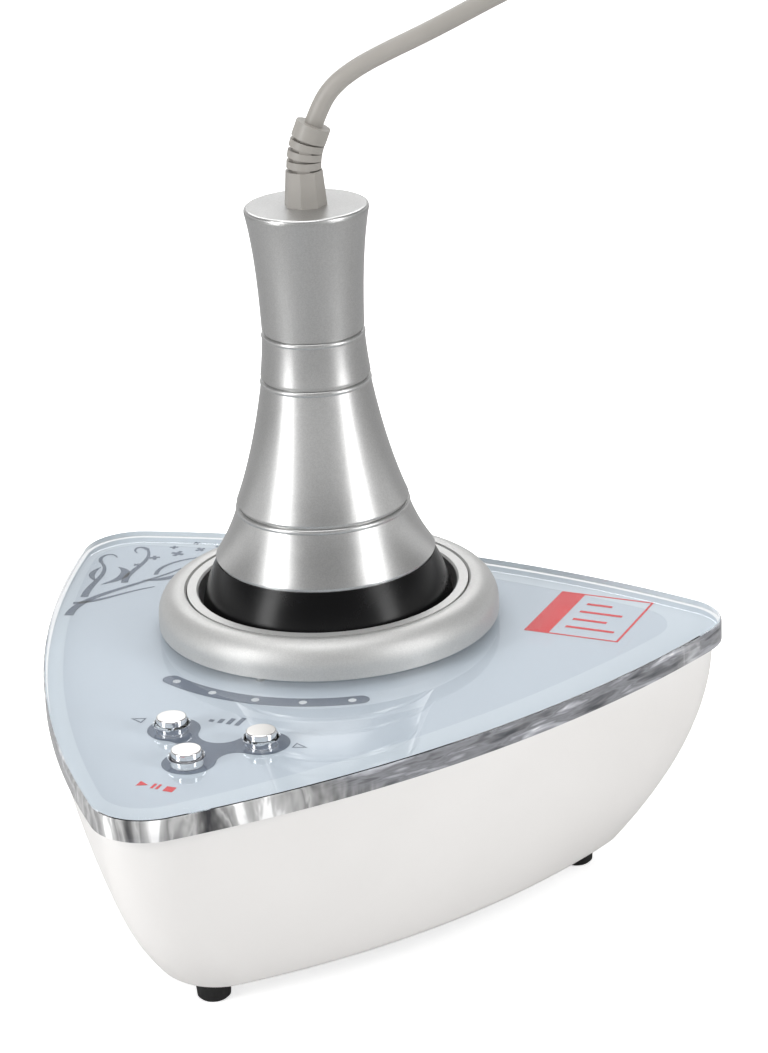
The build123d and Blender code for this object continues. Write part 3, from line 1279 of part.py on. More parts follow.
nut_low = shell_high - PLUG_COLLAR_LONG - PLUG_NUT_LIP - SLIP
nut_high = nut_low + PLUG_NUT_LONG
nut_body = ring(PLUG_SHELL_R + SLIP, PLUG_NUT_R, nut_low, nut_low + PLUG_NUT_LIP)
nut_body += ring(THREAD_R + SLIP, PLUG_NUT_R, nut_low + PLUG_NUT_LIP, nut_high)
for n in range(KNURL_COUNT):
    cut = Pos(PLUG_NUT_R, 0, nut_high - PLUG_NUT_LONG / 2) * Rot(0, 0, FULL_TURN / 8) * Box(
        KNURL_DEEP * 2, KNURL_DEEP * 2, PLUG_NUT_LONG - 2 * PLUG_NUT_LIP
    )
    nut_body -= Rot(0, 0, n * FULL_TURN / KNURL_COUNT) * cut
parts["plug_nut"] = plug_turn * nut_body

for name, shape in parts.items():
    export_step(shape, "parts/" + name + ".step")
print(len(parts), "sub-parts")
print("exit", exit_point, "plug at", tail_end, "way", plug_way)
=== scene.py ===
import json
import math

import bmesh
import bpy
from mathutils import Matrix, Vector, geometry


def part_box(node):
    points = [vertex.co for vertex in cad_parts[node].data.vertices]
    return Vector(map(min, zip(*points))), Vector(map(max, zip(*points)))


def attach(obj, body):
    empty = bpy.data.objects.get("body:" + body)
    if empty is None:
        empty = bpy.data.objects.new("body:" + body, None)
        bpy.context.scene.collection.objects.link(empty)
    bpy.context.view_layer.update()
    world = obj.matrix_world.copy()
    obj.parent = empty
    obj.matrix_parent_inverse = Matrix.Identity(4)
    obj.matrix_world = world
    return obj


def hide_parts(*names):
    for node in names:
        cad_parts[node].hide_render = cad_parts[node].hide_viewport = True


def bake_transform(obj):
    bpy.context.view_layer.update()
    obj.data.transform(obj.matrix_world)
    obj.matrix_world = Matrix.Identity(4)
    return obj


# The model's frame: metres, +Z up, one corner of the case towards -Y
MM = 0.001
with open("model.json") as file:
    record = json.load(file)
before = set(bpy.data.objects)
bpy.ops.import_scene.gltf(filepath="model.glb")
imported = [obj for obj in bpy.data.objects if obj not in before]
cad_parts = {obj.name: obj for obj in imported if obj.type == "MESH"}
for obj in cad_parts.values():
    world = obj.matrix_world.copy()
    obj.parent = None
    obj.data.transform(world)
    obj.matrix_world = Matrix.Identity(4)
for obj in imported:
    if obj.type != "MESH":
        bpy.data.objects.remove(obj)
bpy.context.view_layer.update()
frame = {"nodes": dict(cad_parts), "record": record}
nodes = frame["nodes"]
record = frame["record"]

# Sizes shared by several pieces, read from the frame where it holds them
plate_low, plate_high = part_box("top_plate")
film_low, film_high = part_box("printed_film")
ring_low, ring_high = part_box("holder_ring")
ring_middle = (ring_low + ring_high) / 2
PLATE_TOP = plate_high.z
PLATE_UNDER = plate_low.z
CASE_MIDDLE = Vector((0, 22.1 * MM, 0))
PLATE_TIP = 133.8 * MM
PLATE_SIDE = 89.6 * MM
PLATE_CORNER = 18.6 * MM
TURN = 2 * math.pi
THIRD = TURN / 3


def polar(radius, angle):
    return Vector((radius * math.cos(angle), radius * math.sin(angle), 0))


# Camera, as the photograph was taken
CAMERA_AZIMUTH = math.radians(25.49)
CAMERA_ELEVATION = math.radians(21.17)
CAMERA_ROLL = math.radians(-2.86)
CAMERA_DISTANCE = 1042.5 * MM
CAMERA_TARGET = Vector((9.0, 58.3, 113.6)) * MM
CAMERA_LENS = 107.2


def place_camera():
    az, el = CAMERA_AZIMUTH, CAMERA_ELEVATION
    back = Vector((math.sin(az) * math.cos(el), -math.cos(az) * math.cos(el), math.sin(el)))
    right = Vector((math.cos(az), math.sin(az), 0))
    up = back.cross(right)
    tilted_right = math.cos(CAMERA_ROLL) * right + math.sin(CAMERA_ROLL) * up
    tilted_up = math.cos(CAMERA_ROLL) * up - math.sin(CAMERA_ROLL) * right
    turned_to = Matrix((tilted_right, tilted_up, back)).transposed().to_4x4()
    data = bpy.data.cameras.new("photo camera")
    data.lens = CAMERA_LENS
    data.clip_start = 0.05
    data.clip_end = 50
    camera = bpy.data.objects.new("photo camera", data)
    camera.matrix_world = Matrix.Translation(CAMERA_TARGET + back * CAMERA_DISTANCE) @ turned_to
    bpy.context.scene.collection.objects.link(camera)
    bpy.context.scene.camera = camera


place_camera()

# Shader helpers


def add_node(tree, kind, values=None, **settings):
    made = tree.nodes.new(kind)
    for name, value in settings.items():
        setattr(made, name, value)
    for name, value in (values or {}).items():
        made.inputs[name].default_value = value
    return made


def effect_group(name, inputs, outputs):
    """A shader group with named inputs (name, kind, value) and outputs (name, kind)."""
    tree = bpy.data.node_groups.new(name, "ShaderNodeTree")
    for label, kind, value in inputs:
        socket = tree.interface.new_socket(label, in_out="INPUT", socket_type="NodeSocket" + kind)
        if value is not None:
            socket.default_value = value
    for label, kind in outputs:
        tree.interface.new_socket(label, in_out="OUTPUT", socket_type="NodeSocket" + kind)
    return tree, tree.nodes.new("NodeGroupInput"), tree.nodes.new("NodeGroupOutput")


def moulded_grain_group():
    """Fine moulded texture with slow clouds of shade, for plastics and rubber."""
    tree, given, out = effect_group(
        "moulded grain",
        [("Vector", "Vector", None), ("Grain Scale", "Float", 2500.0), ("Cloud Scale", "Float", 14.0),
         ("Depth", "Float", 0.00002)],
        [("Clouds", "Float"), ("Grain", "Float"), ("Normal", "Vector")],
    )
    fine = add_node(tree, "ShaderNodeTexNoise", {"Detail": 3.0, "Roughness": 0.6})
    slow = add_node(tree, "ShaderNodeTexNoise", {"Detail": 4.0, "Roughness": 0.55, "Distortion": 0.4})
    bump = add_node(tree, "ShaderNodeBump", {"Strength": 0.5})
    link = tree.links.new
    link(given.outputs["Vector"], fine.inputs["Vector"])
    link(given.outputs["Vector"], slow.inputs["Vector"])
    link(given.outputs["Grain Scale"], fine.inputs["Scale"])
    link(given.outputs["Cloud Scale"], slow.inputs["Scale"])
    link(given.outputs["Depth"], bump.inputs["Distance"])
    link(fine.outputs["Fac"], bump.inputs["Height"])
    link(slow.outputs["Fac"], out.inputs["Clouds"])
    link(fine.outputs["Fac"], out.inputs["Grain"])
    link(bump.outputs["Normal"], out.inputs["Normal"])
    return tree


def metal_flake_group():
    """Tiny tilted flakes under a clear coat, with a slow change of tone."""
    tree, given, out = effect_group(
        "metal flake",
        [("Vector", "Vector", None), ("Flake Scale", "Float", 3000.0), ("Tone Scale", "Float", 20.0),
         ("Tilt", "Float", 0.00003)],
        [("Flakes", "Float"), ("Tone", "Float"), ("Normal", "Vector")],
    )
    flakes = add_node(tree, "ShaderNodeTexVoronoi", {"Randomness": 1.0}, feature="F1")
    apart = add_node(tree, "ShaderNodeSeparateColor")
    tone = add_node(tree, "ShaderNodeTexNoise", {"Detail": 5.0, "Roughness": 0.6})
    bump = add_node(tree, "ShaderNodeBump", {"Strength": 0.6})
    link = tree.links.new
    link(given.outputs["Vector"], flakes.inputs["Vector"])
    link(given.outputs["Vector"], tone.inputs["Vector"])
    link(given.outputs["Flake Scale"], flakes.inputs["Scale"])
    link(given.outputs["Tone Scale"], tone.inputs["Scale"])
    link(given.outputs["Tilt"], bump.inputs["Distance"])
    link(flakes.outputs["Color"], apart.inputs["Color"])
    link(apart.outputs["Red"], bump.inputs["Height"])
    link(apart.outputs["Green"], out.inputs["Flakes"])
    link(tone.outputs["Fac"], out.inputs["Tone"])
    link(bump.outputs["Normal"], out.inputs["Normal"])
    return tree


def handling_group():
    """Faint smears and hair scratches that change how a smooth surface shines."""
    tree, given, out = effect_group(
        "handling marks",
        [("Vector", "Vector", None), ("Smear Scale", "Float", 30.0), ("Low", "Float", 0.05),
         ("High", "Float", 0.15)],
        [("Roughness", "Float"), ("Scratches", "Float")],
    )
    smear = add_node(tree, "ShaderNodeTexNoise", {"Detail": 6.0, "Roughness": 0.65, "Distortion": 1.2})
    stretch = add_node(tree, "ShaderNodeMapping", {"Rotation": (0.3, 0.2, 0.7), "Scale": (1.0, 14.0, 1.0)})
    hairs = add_node(tree, "ShaderNodeTexNoise", {"Scale": 160.0, "Detail": 2.0})
    thin = add_node(tree, "ShaderNodeMapRange", {"From Min": 0.62, "From Max": 0.72})
    spread = add_node(tree, "ShaderNodeMapRange", {"From Min": 0.3, "From Max": 0.7})
    link = tree.links.new
    link(given.outputs["Vector"], smear.inputs["Vector"])
    link(given.outputs["Smear Scale"], smear.inputs["Scale"])
    link(given.outputs["Vector"], stretch.inputs["Vector"])
    link(stretch.outputs["Vector"], hairs.inputs["Vector"])
    link(hairs.outputs["Fac"], thin.inputs["Value"])
    link(smear.outputs["Fac"], spread.inputs["Value"])
    link(given.outputs["Low"], spread.inputs["To Min"])
    link(given.outputs["High"], spread.inputs["To Max"])
    link(spread.outputs["Result"], out.inputs["Roughness"])
    link(thin.outputs["Result"], out.inputs["Scratches"])
    return tree


moulded_grain = moulded_grain_group()
metal_flake = metal_flake_group()
handling_marks = handling_group()


def place_group(tree, group, values):
    made = tree.nodes.new("ShaderNodeGroup")
    made.node_tree = group
    for name, value in values.items():
        made.inputs[name].default_value = value
    return made


def new_surface(name, **shader):
    """A material with its Principled BSDF set from plain values, and its object coordinates."""
    material = bpy.data.materials.new(name)
    material.use_nodes = True
    tree = material.node_tree
    bsdf = tree.nodes["Principled BSDF"]
    for label, value in shader.items():
        bsdf.inputs[label.replace("_", " ")].default_value = value
    place = tree.nodes.new("ShaderNodeTexCoord")
    return material, tree, bsdf, place.outputs["Object"]


def two_tone(tree, factor, low, high, spread=(0.3, 0.7)):
    """A colour that runs between two tones with a factor."""
    ramp = tree.nodes.new("ShaderNodeValToRGB")
    ramp.color_ramp.elements[0].position = spread[0]
    ramp.color_ramp.elements[1].position = spread[1]
    ramp.color_ramp.elements[0].color = (*low, 1)
    ramp.color_ramp.elements[1].color = (*high, 1)
    tree.links.new(factor, ramp.inputs["Fac"])
    return ramp.outputs["Color"]


def moulded(name, low, high, rough=(0.35, 0.5), grain=2500.0, clouds=14.0, depth=0.00002, **shader):
    """Moulded plastic or rubber with fine grain and slow clouds."""
    material, tree, bsdf, place = new_surface(name, **shader)
    effect = place_group(
        tree, moulded_grain, {"Grain Scale": grain, "Cloud Scale": clouds, "Depth": depth}
    )
    marks = place_group(tree, handling_marks, {"Low": rough[0], "High": rough[1]})
    link = tree.links.new
    link(place, effect.inputs["Vector"])
    link(place, marks.inputs["Vector"])
    link(two_tone(tree, effect.outputs["Clouds"], low, high), bsdf.inputs["Base Color"])
    link(marks.outputs["Roughness"], bsdf.inputs["Roughness"])
    link(effect.outputs["Normal"], bsdf.inputs["Normal"])
    return material


def flaked(name, low, high, rough=(0.3, 0.4), flake=3000.0, tilt=0.00003, **shader):
    """Silver paint: flakes change the tone and tilt the shine a little."""
    material, tree, bsdf, place = new_surface(name, **shader)
    effect = place_group(tree, metal_flake, {"Flake Scale": flake, "Tilt": tilt})
    marks = place_group(tree, handling_marks, {"Low": rough[0], "High": rough[1], "Smear Scale": 22.0})
    link = tree.links.new
    link(place, effect.inputs["Vector"])
    link(place, marks.inputs["Vector"])
    blend = add_node(tree, "ShaderNodeMath", operation="MULTIPLY_ADD")
    blend.inputs[1].default_value = 0.7
    quiet = add_node(tree, "ShaderNodeMath", operation="MULTIPLY")
    quiet.inputs[1].default_value = 0.3
    link(effect.outputs["Flakes"], blend.inputs[0])
    link(effect.outputs["Tone"], quiet.inputs[0])
    link(quiet.outputs["Value"], blend.inputs[2])
    link(two_tone(tree, blend.outputs["Value"], low, high, (0.0, 1.0)), bsdf.inputs["Base Color"])
    link(marks.outputs["Roughness"], bsdf.inputs["Roughness"])
    link(effect.outputs["Normal"], bsdf.inputs["Normal"])
    return material


def bright_metal(name, low, high, rough=(0.04, 0.12), **shader):
    material, tree, bsdf, place = new_surface(name, Metallic=1.0, **shader)
    marks = place_group(tree, handling_marks, {"Low": rough[0], "High": rough[1], "Smear Scale": 90.0})
    link = tree.links.new
    link(place, marks.inputs["Vector"])
    link(two_tone(tree, marks.outputs["Scratches"], high, low, (0.0, 1.0)), bsdf.inputs["Base Color"])
    link(marks.outputs["Roughness"], bsdf.inputs["Roughness"])
    return material


def clear_plate():
    """Thick clear acrylic that lets light through to the printing below it."""
    material, tree, bsdf, place = new_surface(
        "clear plate", Base_Color=(0.97, 0.985, 1.0, 1), Transmission_Weight=1.0, IOR=1.49
    )
    marks = place_group(tree, handling_marks, {"Low": 0.012, "High": 0.03, "Smear Scale": 18.0})
    path = tree.nodes.new("ShaderNodeLightPath")
    either = add_node(tree, "ShaderNodeMath", operation="MAXIMUM")
    through = add_node(tree, "ShaderNodeBsdfTransparent", {"Color": (0.96, 0.975, 0.98, 1)})
    mix = tree.nodes.new("ShaderNodeMixShader")
    end = tree.nodes["Material Output"]
    link = tree.links.new
    link(place, marks.inputs["Vector"])
    link(marks.outputs["Roughness"], bsdf.inputs["Roughness"])
    link(path.outputs["Is Shadow Ray"], either.inputs[0])
    link(path.outputs["Is Diffuse Ray"], either.inputs[1])
    link(either.outputs["Value"], mix.inputs["Fac"])
    link(bsdf.outputs["BSDF"], mix.inputs[1])
    link(through.outputs["BSDF"], mix.inputs[2])
    link(mix.outputs["Shader"], end.inputs["Surface"])
    return material


def painted_glint_edge():
    """The plate's polished edge, coloured with painted reflections: long dark and light bands by height,
    broken here and there by painted bright glints and dark reflected streaks.
    """
    material, tree, bsdf, place = new_surface("edge with painted glints", IOR=1.49, Coat_Weight=0.5)
    link = tree.links.new
    apart = tree.nodes.new("ShaderNodeSeparateXYZ")
    link(place, apart.inputs["Vector"])
    along = add_node(tree, "ShaderNodeMapping", {"Rotation": (0.1, 0.06, 0), "Scale": (0.16, 0.16, 1.0)})
    link(place, along.inputs["Vector"])
    flow = add_node(
        tree, "ShaderNodeTexNoise", {"Scale": 330.0, "Detail": 3.0, "Roughness": 0.5, "Distortion": 0.4}
    )
    link(along.outputs["Vector"], flow.inputs["Vector"])
    # Painted reflections: dark and light bands by height in the edge's colour
    painted_reflection_bands = tree.nodes.new("ShaderNodeValToRGB")
    steps = painted_reflection_bands.color_ramp
    steps.elements[0].position = 0.30
    steps.elements[0].color = (0.06, 0.065, 0.075, 1)
    steps.elements[1].position = 0.72
    steps.elements[1].color = (0.92, 0.92, 0.92, 1)
    for position, shade in ((0.40, 0.15), (0.47, 0.26), (0.53, 0.20), (0.60, 0.38), (0.66, 0.52)):
        steps.elements.new(position).color = (shade * 0.96, shade * 0.98, shade * 1.06, 1)
    link(flow.outputs["Fac"], painted_reflection_bands.inputs["Fac"])
    # Painted glints and dark reflected streaks stand nearly upright and gather in clusters, most of all by
    # the front corner
    upright = add_node(tree, "ShaderNodeMapping", {"Rotation": (0.15, 0.12, 0), "Scale": (1.0, 1.0, 0.3)})
    link(place, upright.inputs["Vector"])
    streaks = add_node(
        tree, "ShaderNodeTexNoise", {"Scale": 62.0, "Detail": 4.0, "Roughness": 0.55, "Distortion": 0.5}
    )
    link(upright.outputs["Vector"], streaks.inputs["Vector"])
    painted_glint_tone = tree.nodes.new("ShaderNodeValToRGB")
    tones = painted_glint_tone.color_ramp
    tones.elements[0].position = 0.34
    tones.elements[0].color = (0.03, 0.03, 0.035, 1)
    tones.elements[1].position = 0.64
    tones.elements[1].color = (1.0, 1.0, 1.0, 1)
    for position, shade in (
        (0.41, 0.14), (0.46, 0.34), (0.49, 0.52), (0.52, 0.26), (0.57, 0.42), (0.61, 0.55),
    ):
        tones.elements.new(position).color = (shade, shade, shade, 1)
    link(streaks.outputs["Fac"], painted_glint_tone.inputs["Fac"])
    groups = add_node(tree, "ShaderNodeTexNoise", {"Scale": 15.0, "Detail": 2.0})
    link(place, groups.inputs["Vector"])
    scattered = add_node(tree, "ShaderNodeMapRange", {"From Min": 0.46, "From Max": 0.58})
    link(groups.outputs["Fac"], scattered.inputs["Value"])
    corner_range = {"From Min": -68 * MM, "From Max": -100 * MM, "To Min": 0.0, "To Max": 0.85}
    corner = add_node(tree, "ShaderNodeMapRange", corner_range)
    link(apart.outputs["Y"], corner.inputs["Value"])
    both = add_node(tree, "ShaderNodeMath", operation="MAXIMUM")
    link(scattered.outputs["Result"], both.inputs[0])
    link(corner.outputs["Result"], both.inputs[1])
    outside = add_node(tree, "ShaderNodeMix", data_type="RGBA")
    link(both.outputs["Value"], outside.inputs["Factor"])
    link(painted_reflection_bands.outputs["Color"], outside.inputs["A"])
    link(painted_glint_tone.outputs["Color"], outside.inputs["B"])
    # Seen from inside the plate, the far edge is pale: a painted light colour standing in for the light that
    # comes through the acrylic
    geometry_node = tree.nodes.new("ShaderNodeNewGeometry")
    painted_through_light = add_node(tree, "ShaderNodeMix", data_type="RGBA")
    painted_through_light.inputs["B"].default_value = (0.80, 0.84, 0.87, 1)
    link(geometry_node.outputs["Backfacing"], painted_through_light.inputs["Factor"])
    link(outside.outputs["Result"], painted_through_light.inputs["A"])
    link(painted_through_light.outputs["Result"], bsdf.inputs["Base Color"])
    marks = place_group(tree, handling_marks, {"Low": 0.05, "High": 0.2, "Smear Scale": 120.0})
    link(place, marks.inputs["Vector"])
    link(marks.outputs["Roughness"], bsdf.inputs["Roughness"])
    return material


# Finishes
case_white = moulded(
    "case white", (0.80, 0.785, 0.77), (0.83, 0.815, 0.80), rough=(0.36, 0.46), grain=1800.0, depth=0.00001
)
film_blue = moulded(
    "film blue grey", (0.56, 0.605, 0.66), (0.59, 0.64, 0.70), rough=(0.5, 0.6), clouds=5.0,
    Specular_IOR_Level=0.0
)
film_edge = moulded(
    "film edge band", (0.645, 0.69, 0.735), (0.675, 0.72, 0.765), rough=(0.5, 0.6), clouds=6.0,
    Specular_IOR_Level=0.0
)
print_slate = moulded(
    "slate print", (0.13, 0.155, 0.20), (0.165, 0.19, 0.245), rough=(0.5, 0.6), clouds=40.0,
    Specular_IOR_Level=0.0
)
print_red = moulded(
    "red print", (0.72, 0.03, 0.035), (0.80, 0.045, 0.05), rough=(0.5, 0.6), clouds=60.0,
    Specular_IOR_Level=0.0
)
silver_paint = flaked(
    "satin silver paint", (0.50, 0.50, 0.495), (0.60, 0.60, 0.595), rough=(0.28, 0.34), tilt=0.00001,
    Metallic=0.9, Coat_Weight=0.2, Coat_Roughness=0.25
)
ring_silver = flaked(
    "fine satin silver", (0.50, 0.50, 0.495), (0.60, 0.60, 0.59), rough=(0.46, 0.52), flake=3600.0,
    tilt=0.00001, Metallic=0.65
)
collar_silver = flaked(
    "collar silver", (0.56, 0.56, 0.555), (0.64, 0.64, 0.63), rough=(0.44, 0.5), flake=3600.0, tilt=0.00001,
    Metallic=0.6
)
head_black = moulded(
    "satin black", (0.002, 0.002, 0.0022), (0.004, 0.004, 0.0045), rough=(0.22, 0.3), grain=4000.0,
    depth=0.000004, Specular_IOR_Level=0.22
)
chrome = bright_metal("chrome", (0.70, 0.70, 0.71), (0.86, 0.86, 0.87))
key_top_silver = bright_metal("satin key top", (0.66, 0.645, 0.625), (0.72, 0.705, 0.685), rough=(0.3, 0.36))
nickel = bright_metal("satin nickel", (0.55, 0.55, 0.55), (0.70, 0.70, 0.70), rough=(0.18, 0.3))
steel = bright_metal("zinc steel", (0.45, 0.45, 0.45), (0.62, 0.62, 0.61), rough=(0.25, 0.4))
head_metal = bright_metal("polished head", (0.62, 0.62, 0.63), (0.78, 0.78, 0.79), rough=(0.08, 0.18))
sink_metal = bright_metal("anodised sink", (0.10, 0.10, 0.11), (0.16, 0.17, 0.18), rough=(0.35, 0.5))
brass = bright_metal("brass", (0.50, 0.36, 0.14), (0.74, 0.56, 0.26), rough=(0.12, 0.25))
copper = bright_metal("taped copper", (0.42, 0.17, 0.07), (0.62, 0.28, 0.13), rough=(0.3, 0.45))
cable_grey = moulded(
    "warm grey cable", (0.32, 0.305, 0.28), (0.37, 0.35, 0.325), rough=(0.34, 0.46), grain=3000.0, clouds=35.0
)
foot_black = moulded("black rubber", (0.006, 0.006, 0.006), (0.014, 0.014, 0.014), rough=(0.4, 0.6))
black_plastic = moulded(
    "black plastic", (0.012, 0.012, 0.013), (0.022, 0.022, 0.023), rough=(0.35, 0.5), depth=0.00004
)
rocker_black = moulded("rocker black", (0.010, 0.010, 0.010), (0.016, 0.016, 0.016), rough=(0.12, 0.22))
inner_grey = moulded("inner grey", (0.42, 0.43, 0.44), (0.50, 0.51, 0.52), rough=(0.45, 0.6), depth=0.00004)
ceramic = moulded("ceramic", (0.58, 0.55, 0.47), (0.68, 0.65, 0.58), rough=(0.5, 0.7))
board_green = moulded(
    "circuit board", (0.008, 0.06, 0.02), (0.015, 0.10, 0.04), rough=(0.25, 0.4), clouds=90.0
)
lamp_clear = moulded("lamp lens", (0.66, 0.68, 0.70), (0.76, 0.78, 0.80), rough=(0.08, 0.2), clouds=200.0)
silicone = moulded("pad silicone", (0.20, 0.20, 0.205), (0.26, 0.26, 0.265), rough=(0.55, 0.7))
wire_red = moulded("wire cover", (0.22, 0.02, 0.015), (0.32, 0.03, 0.02), rough=(0.3, 0.45))
plate_clear = clear_plate()
edge_painted_glints = painted_glint_edge()

slot_finish = {
    "body_white": case_white,
    "clear_plate": plate_clear,
    "film": film_blue,
    "inner_plastic": inner_grey,
    "black_plastic": black_plastic,
    "rocker_black": rocker_black,
    "ring_silver": ring_silver,
    "collar_silver": collar_silver,
    "silver_paint": silver_paint,
    "head_black": head_black,
    "steel": steel,
    "head_metal": head_metal,
    "sink_metal": sink_metal,
    "chrome": chrome,
    "nickel": nickel,
    "brass": brass,
    "copper_winding": copper,
    "ceramic": ceramic,
    "board_green": board_green,
    "lamp_clear": lamp_clear,
    "rubber_grey": cable_grey,
    "rubber_feet": foot_black,
    "pad_silicone": silicone,
    "wire_cover": wire_red,
}
node_slot = {entry["node"]: entry["material_slot"] for entry in record["subparts"]}
for name, piece in nodes.items():
    piece.data.materials.clear()
    piece.data.materials.append(slot_finish[node_slot[name]])


# Pieces made here


def sharpen(bm, limit=math.radians(28)):
    """Smooth shading, level faces kept flat, with a crisp line where faces meet at more than the limit."""
    bm.normal_update()
    for face in bm.faces:
        face.smooth = abs(face.normal.z) < 0.9999
    for edge in bm.edges:
        edge.smooth = len(edge.link_faces) != 2 or edge.calc_face_angle(0) < limit


def finish_piece(name, bm, finishes, body, replaced=(), keep_faces=False):
    """Turns a bmesh into a piece that rides on a body and stands for CAD nodes."""
    bmesh.ops.remove_doubles(bm, verts=bm.verts, dist=0.000004)
    if not keep_faces:
        bmesh.ops.recalc_face_normals(bm, faces=bm.faces)
    sharpen(bm)
    mesh = bpy.data.meshes.new(name)
    bm.to_mesh(mesh)
    bm.free()
    for finish in finishes:
        mesh.materials.append(finish)
    made = bpy.data.objects.new(name.replace(" ", "_"), mesh)
    bpy.context.scene.collection.objects.link(made)
    if replaced:
        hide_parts(*replaced)
    if body:
        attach(made, body)
    return made


def bent(start, bend, end, count=14):
    """Points of a curve with one bend, as radius and height."""
    a, b, c = (Vector((*point, 0)) for point in (start, bend, end))
    knots = geometry.interpolate_bezier(a, a.lerp(b, 2 / 3), c.lerp(b, 2 / 3), c, count)
    return [(knot.x, knot.y) for knot in knots]


def turned(name, outline, finishes, body, replaced=(), middle=None, steps=144, finish_for=None):
    """A piece spun round a standing axis from a closed outline in millimetres above the plate."""
    middle = middle or Vector((ring_middle.x, ring_middle.y, PLATE_TOP))
    bm = bmesh.new()
    verts = [bm.verts.new(middle + Vector((r * MM, 0, z * MM))) for r, z in outline]
    edges = [bm.edges.new((a, b)) for a, b in zip(verts, verts[1:] + verts[:1])]
    bmesh.ops.spin(
        bm, geom=verts + edges, cent=middle, axis=(0, 0, 1), angle=TURN, steps=steps, use_merge=True
    )
    bmesh.ops.remove_doubles(bm, verts=bm.verts, dist=0.000004)
    if finish_for:
        for face in bm.faces:
            spot = face.calc_center_median() - middle
            face.material_index = finish_for(math.hypot(spot.x, spot.y) / MM, spot.z / MM)
    return finish_piece(name, bm, finishes, body, replaced)


# Handpiece casing, heights in millimetres above the plate
WALL = 2.2
BEAD = 1.1
BEAD_END = -0.4
NOTCH_DEEP = 0.7
NOTCH_TALL = 1.2
CAP = (20.1, 141.5)
CAP_SEAM = 139.9
CAP_BORE_R = 4.05
CAP_SPIGOT = (15.3, 16.8, 134.9)
CAP_ROUNDING = 1.0
WAIST = (16.7, 99.8)
HANDLE_BEND = (17.2, 126.0)
BAND_LOW = (18.0, 84.1)
BELL_BEND = (22.0, 58.6)
BELL_LOW = (28.5, 40.8)
SKIRT_BEND = (31.7, 30.4)
SKIRT_LOW = (36.5, 22.1)
HEAD_TOP_R = 36.2
HEAD_BEND = (41.2, 13.0)
HEAD_LOW = (42.2, 3.4)


def quarter_round(centre_r, centre_z, radius, first, last, count=6):
    """Points of a rounding, as radius and height, between two shares of a quarter turn."""
    angles = [TURN / 4 * (first + (last - first) * n / count) for n in range(count + 1)]
    return [(centre_r + radius * math.cos(a), centre_z + radius * math.sin(a)) for a in angles]


def casing(name, top, bend, low, replaced, bead=BEAD):
    """A shell of the handpiece: a small bead round its top, a shallow notch at its foot."""
    (top_r, top_z), (low_r, low_z) = top, low
    outline = [(top_r, top_z)]
    if bead:
        outline = quarter_round(top_r - bead, top_z - bead, bead, 1, BEAD_END, 8)
    outline += bent(outline[-1], bend, (low_r, low_z + NOTCH_TALL))[1:]
    outline += [(low_r - NOTCH_DEEP, low_z + NOTCH_TALL), (low_r - NOTCH_DEEP, low_z)]
    outline += [(low_r - WALL, low_z), (bend[0] - WALL, bend[1]), (top_r - WALL, top_z)]
    return turned(name, outline, [silver_paint], "handpiece", [replaced])


def cap_outline():
    """The end cap with its spigot, from its bore out to its rounded rim."""
    top_r, top_z = CAP
    edge = quarter_round(top_r - CAP_ROUNDING, top_z - CAP_ROUNDING, CAP_ROUNDING, 0, 1)
    spigot_in_r, spigot_out_r, spigot_z = CAP_SPIGOT
    outline = [
        (CAP_BORE_R, CAP_SEAM), (spigot_in_r, CAP_SEAM), (spigot_in_r, spigot_z), (spigot_out_r, spigot_z),
        (spigot_out_r, CAP_SEAM), (top_r, CAP_SEAM),
    ]
    return outline + edge + [(CAP_BORE_R, top_z)]


turned("rounded cap", cap_outline(), [silver_paint], "handpiece", ["end_cap"])
casing("handle", (CAP[0], CAP_SEAM), HANDLE_BEND, WAIST, "handle_shell", bead=0)
casing("grip", (WAIST[0] + 0.3, WAIST[1]), (17.1, 91.9), BAND_LOW, "grip_band")
casing("bell", (BAND_LOW[0] + 0.3, BAND_LOW[1]), BELL_BEND, BELL_LOW, "bell_shell")
casing("skirt", (BELL_LOW[0] + 0.5, BELL_LOW[1]), SKIRT_BEND, SKIRT_LOW, "skirt_shell")

head_outline = bent((HEAD_TOP_R, SKIRT_LOW[1]), HEAD_BEND, HEAD_LOW)
head_outline += [(40.55, 3.4), (40.55, 6.8), (36.5, 6.8), (33.5, 16.8), (33.5, SKIRT_LOW[1])]
turned("flared head ring", head_outline, [head_black], "handpiece", ["head_ring"])

# Holder ring and collar
RING_R = 57.0
RING_WALL_TOP = 3.8
RING_SHOULDER = (7.5, 8.2)
shoulder_steps = 12
ring_outline = [(RING_R, 0.25), (RING_R, RING_WALL_TOP)]
ring_outline += [
    (
        RING_R - RING_SHOULDER[0] + RING_SHOULDER[0] * math.cos(TURN / 4 * n / shoulder_steps),
        RING_WALL_TOP + RING_SHOULDER[1] * math.sin(TURN / 4 * n / shoulder_steps),
    )
    for n in range(1, shoulder_steps + 1)
]
ring_outline += [(48.0, 11.7), (47.35, 10.9), (47.35, 0.25)]
turned("rounded ring", ring_outline, [ring_silver], "base", ["holder_ring"])
collar_outline = [
    (44.8, 0.25), (47.0, 0.25), (47.0, 11.5), (43.9, 11.5), (43.3, 10.9), (43.3, 2.3), (44.8, 2.3),
]
turned("flat collar", collar_outline, [collar_silver], "base", ["holder_collar"])


# Bowed triangle that the plate and the printing follow


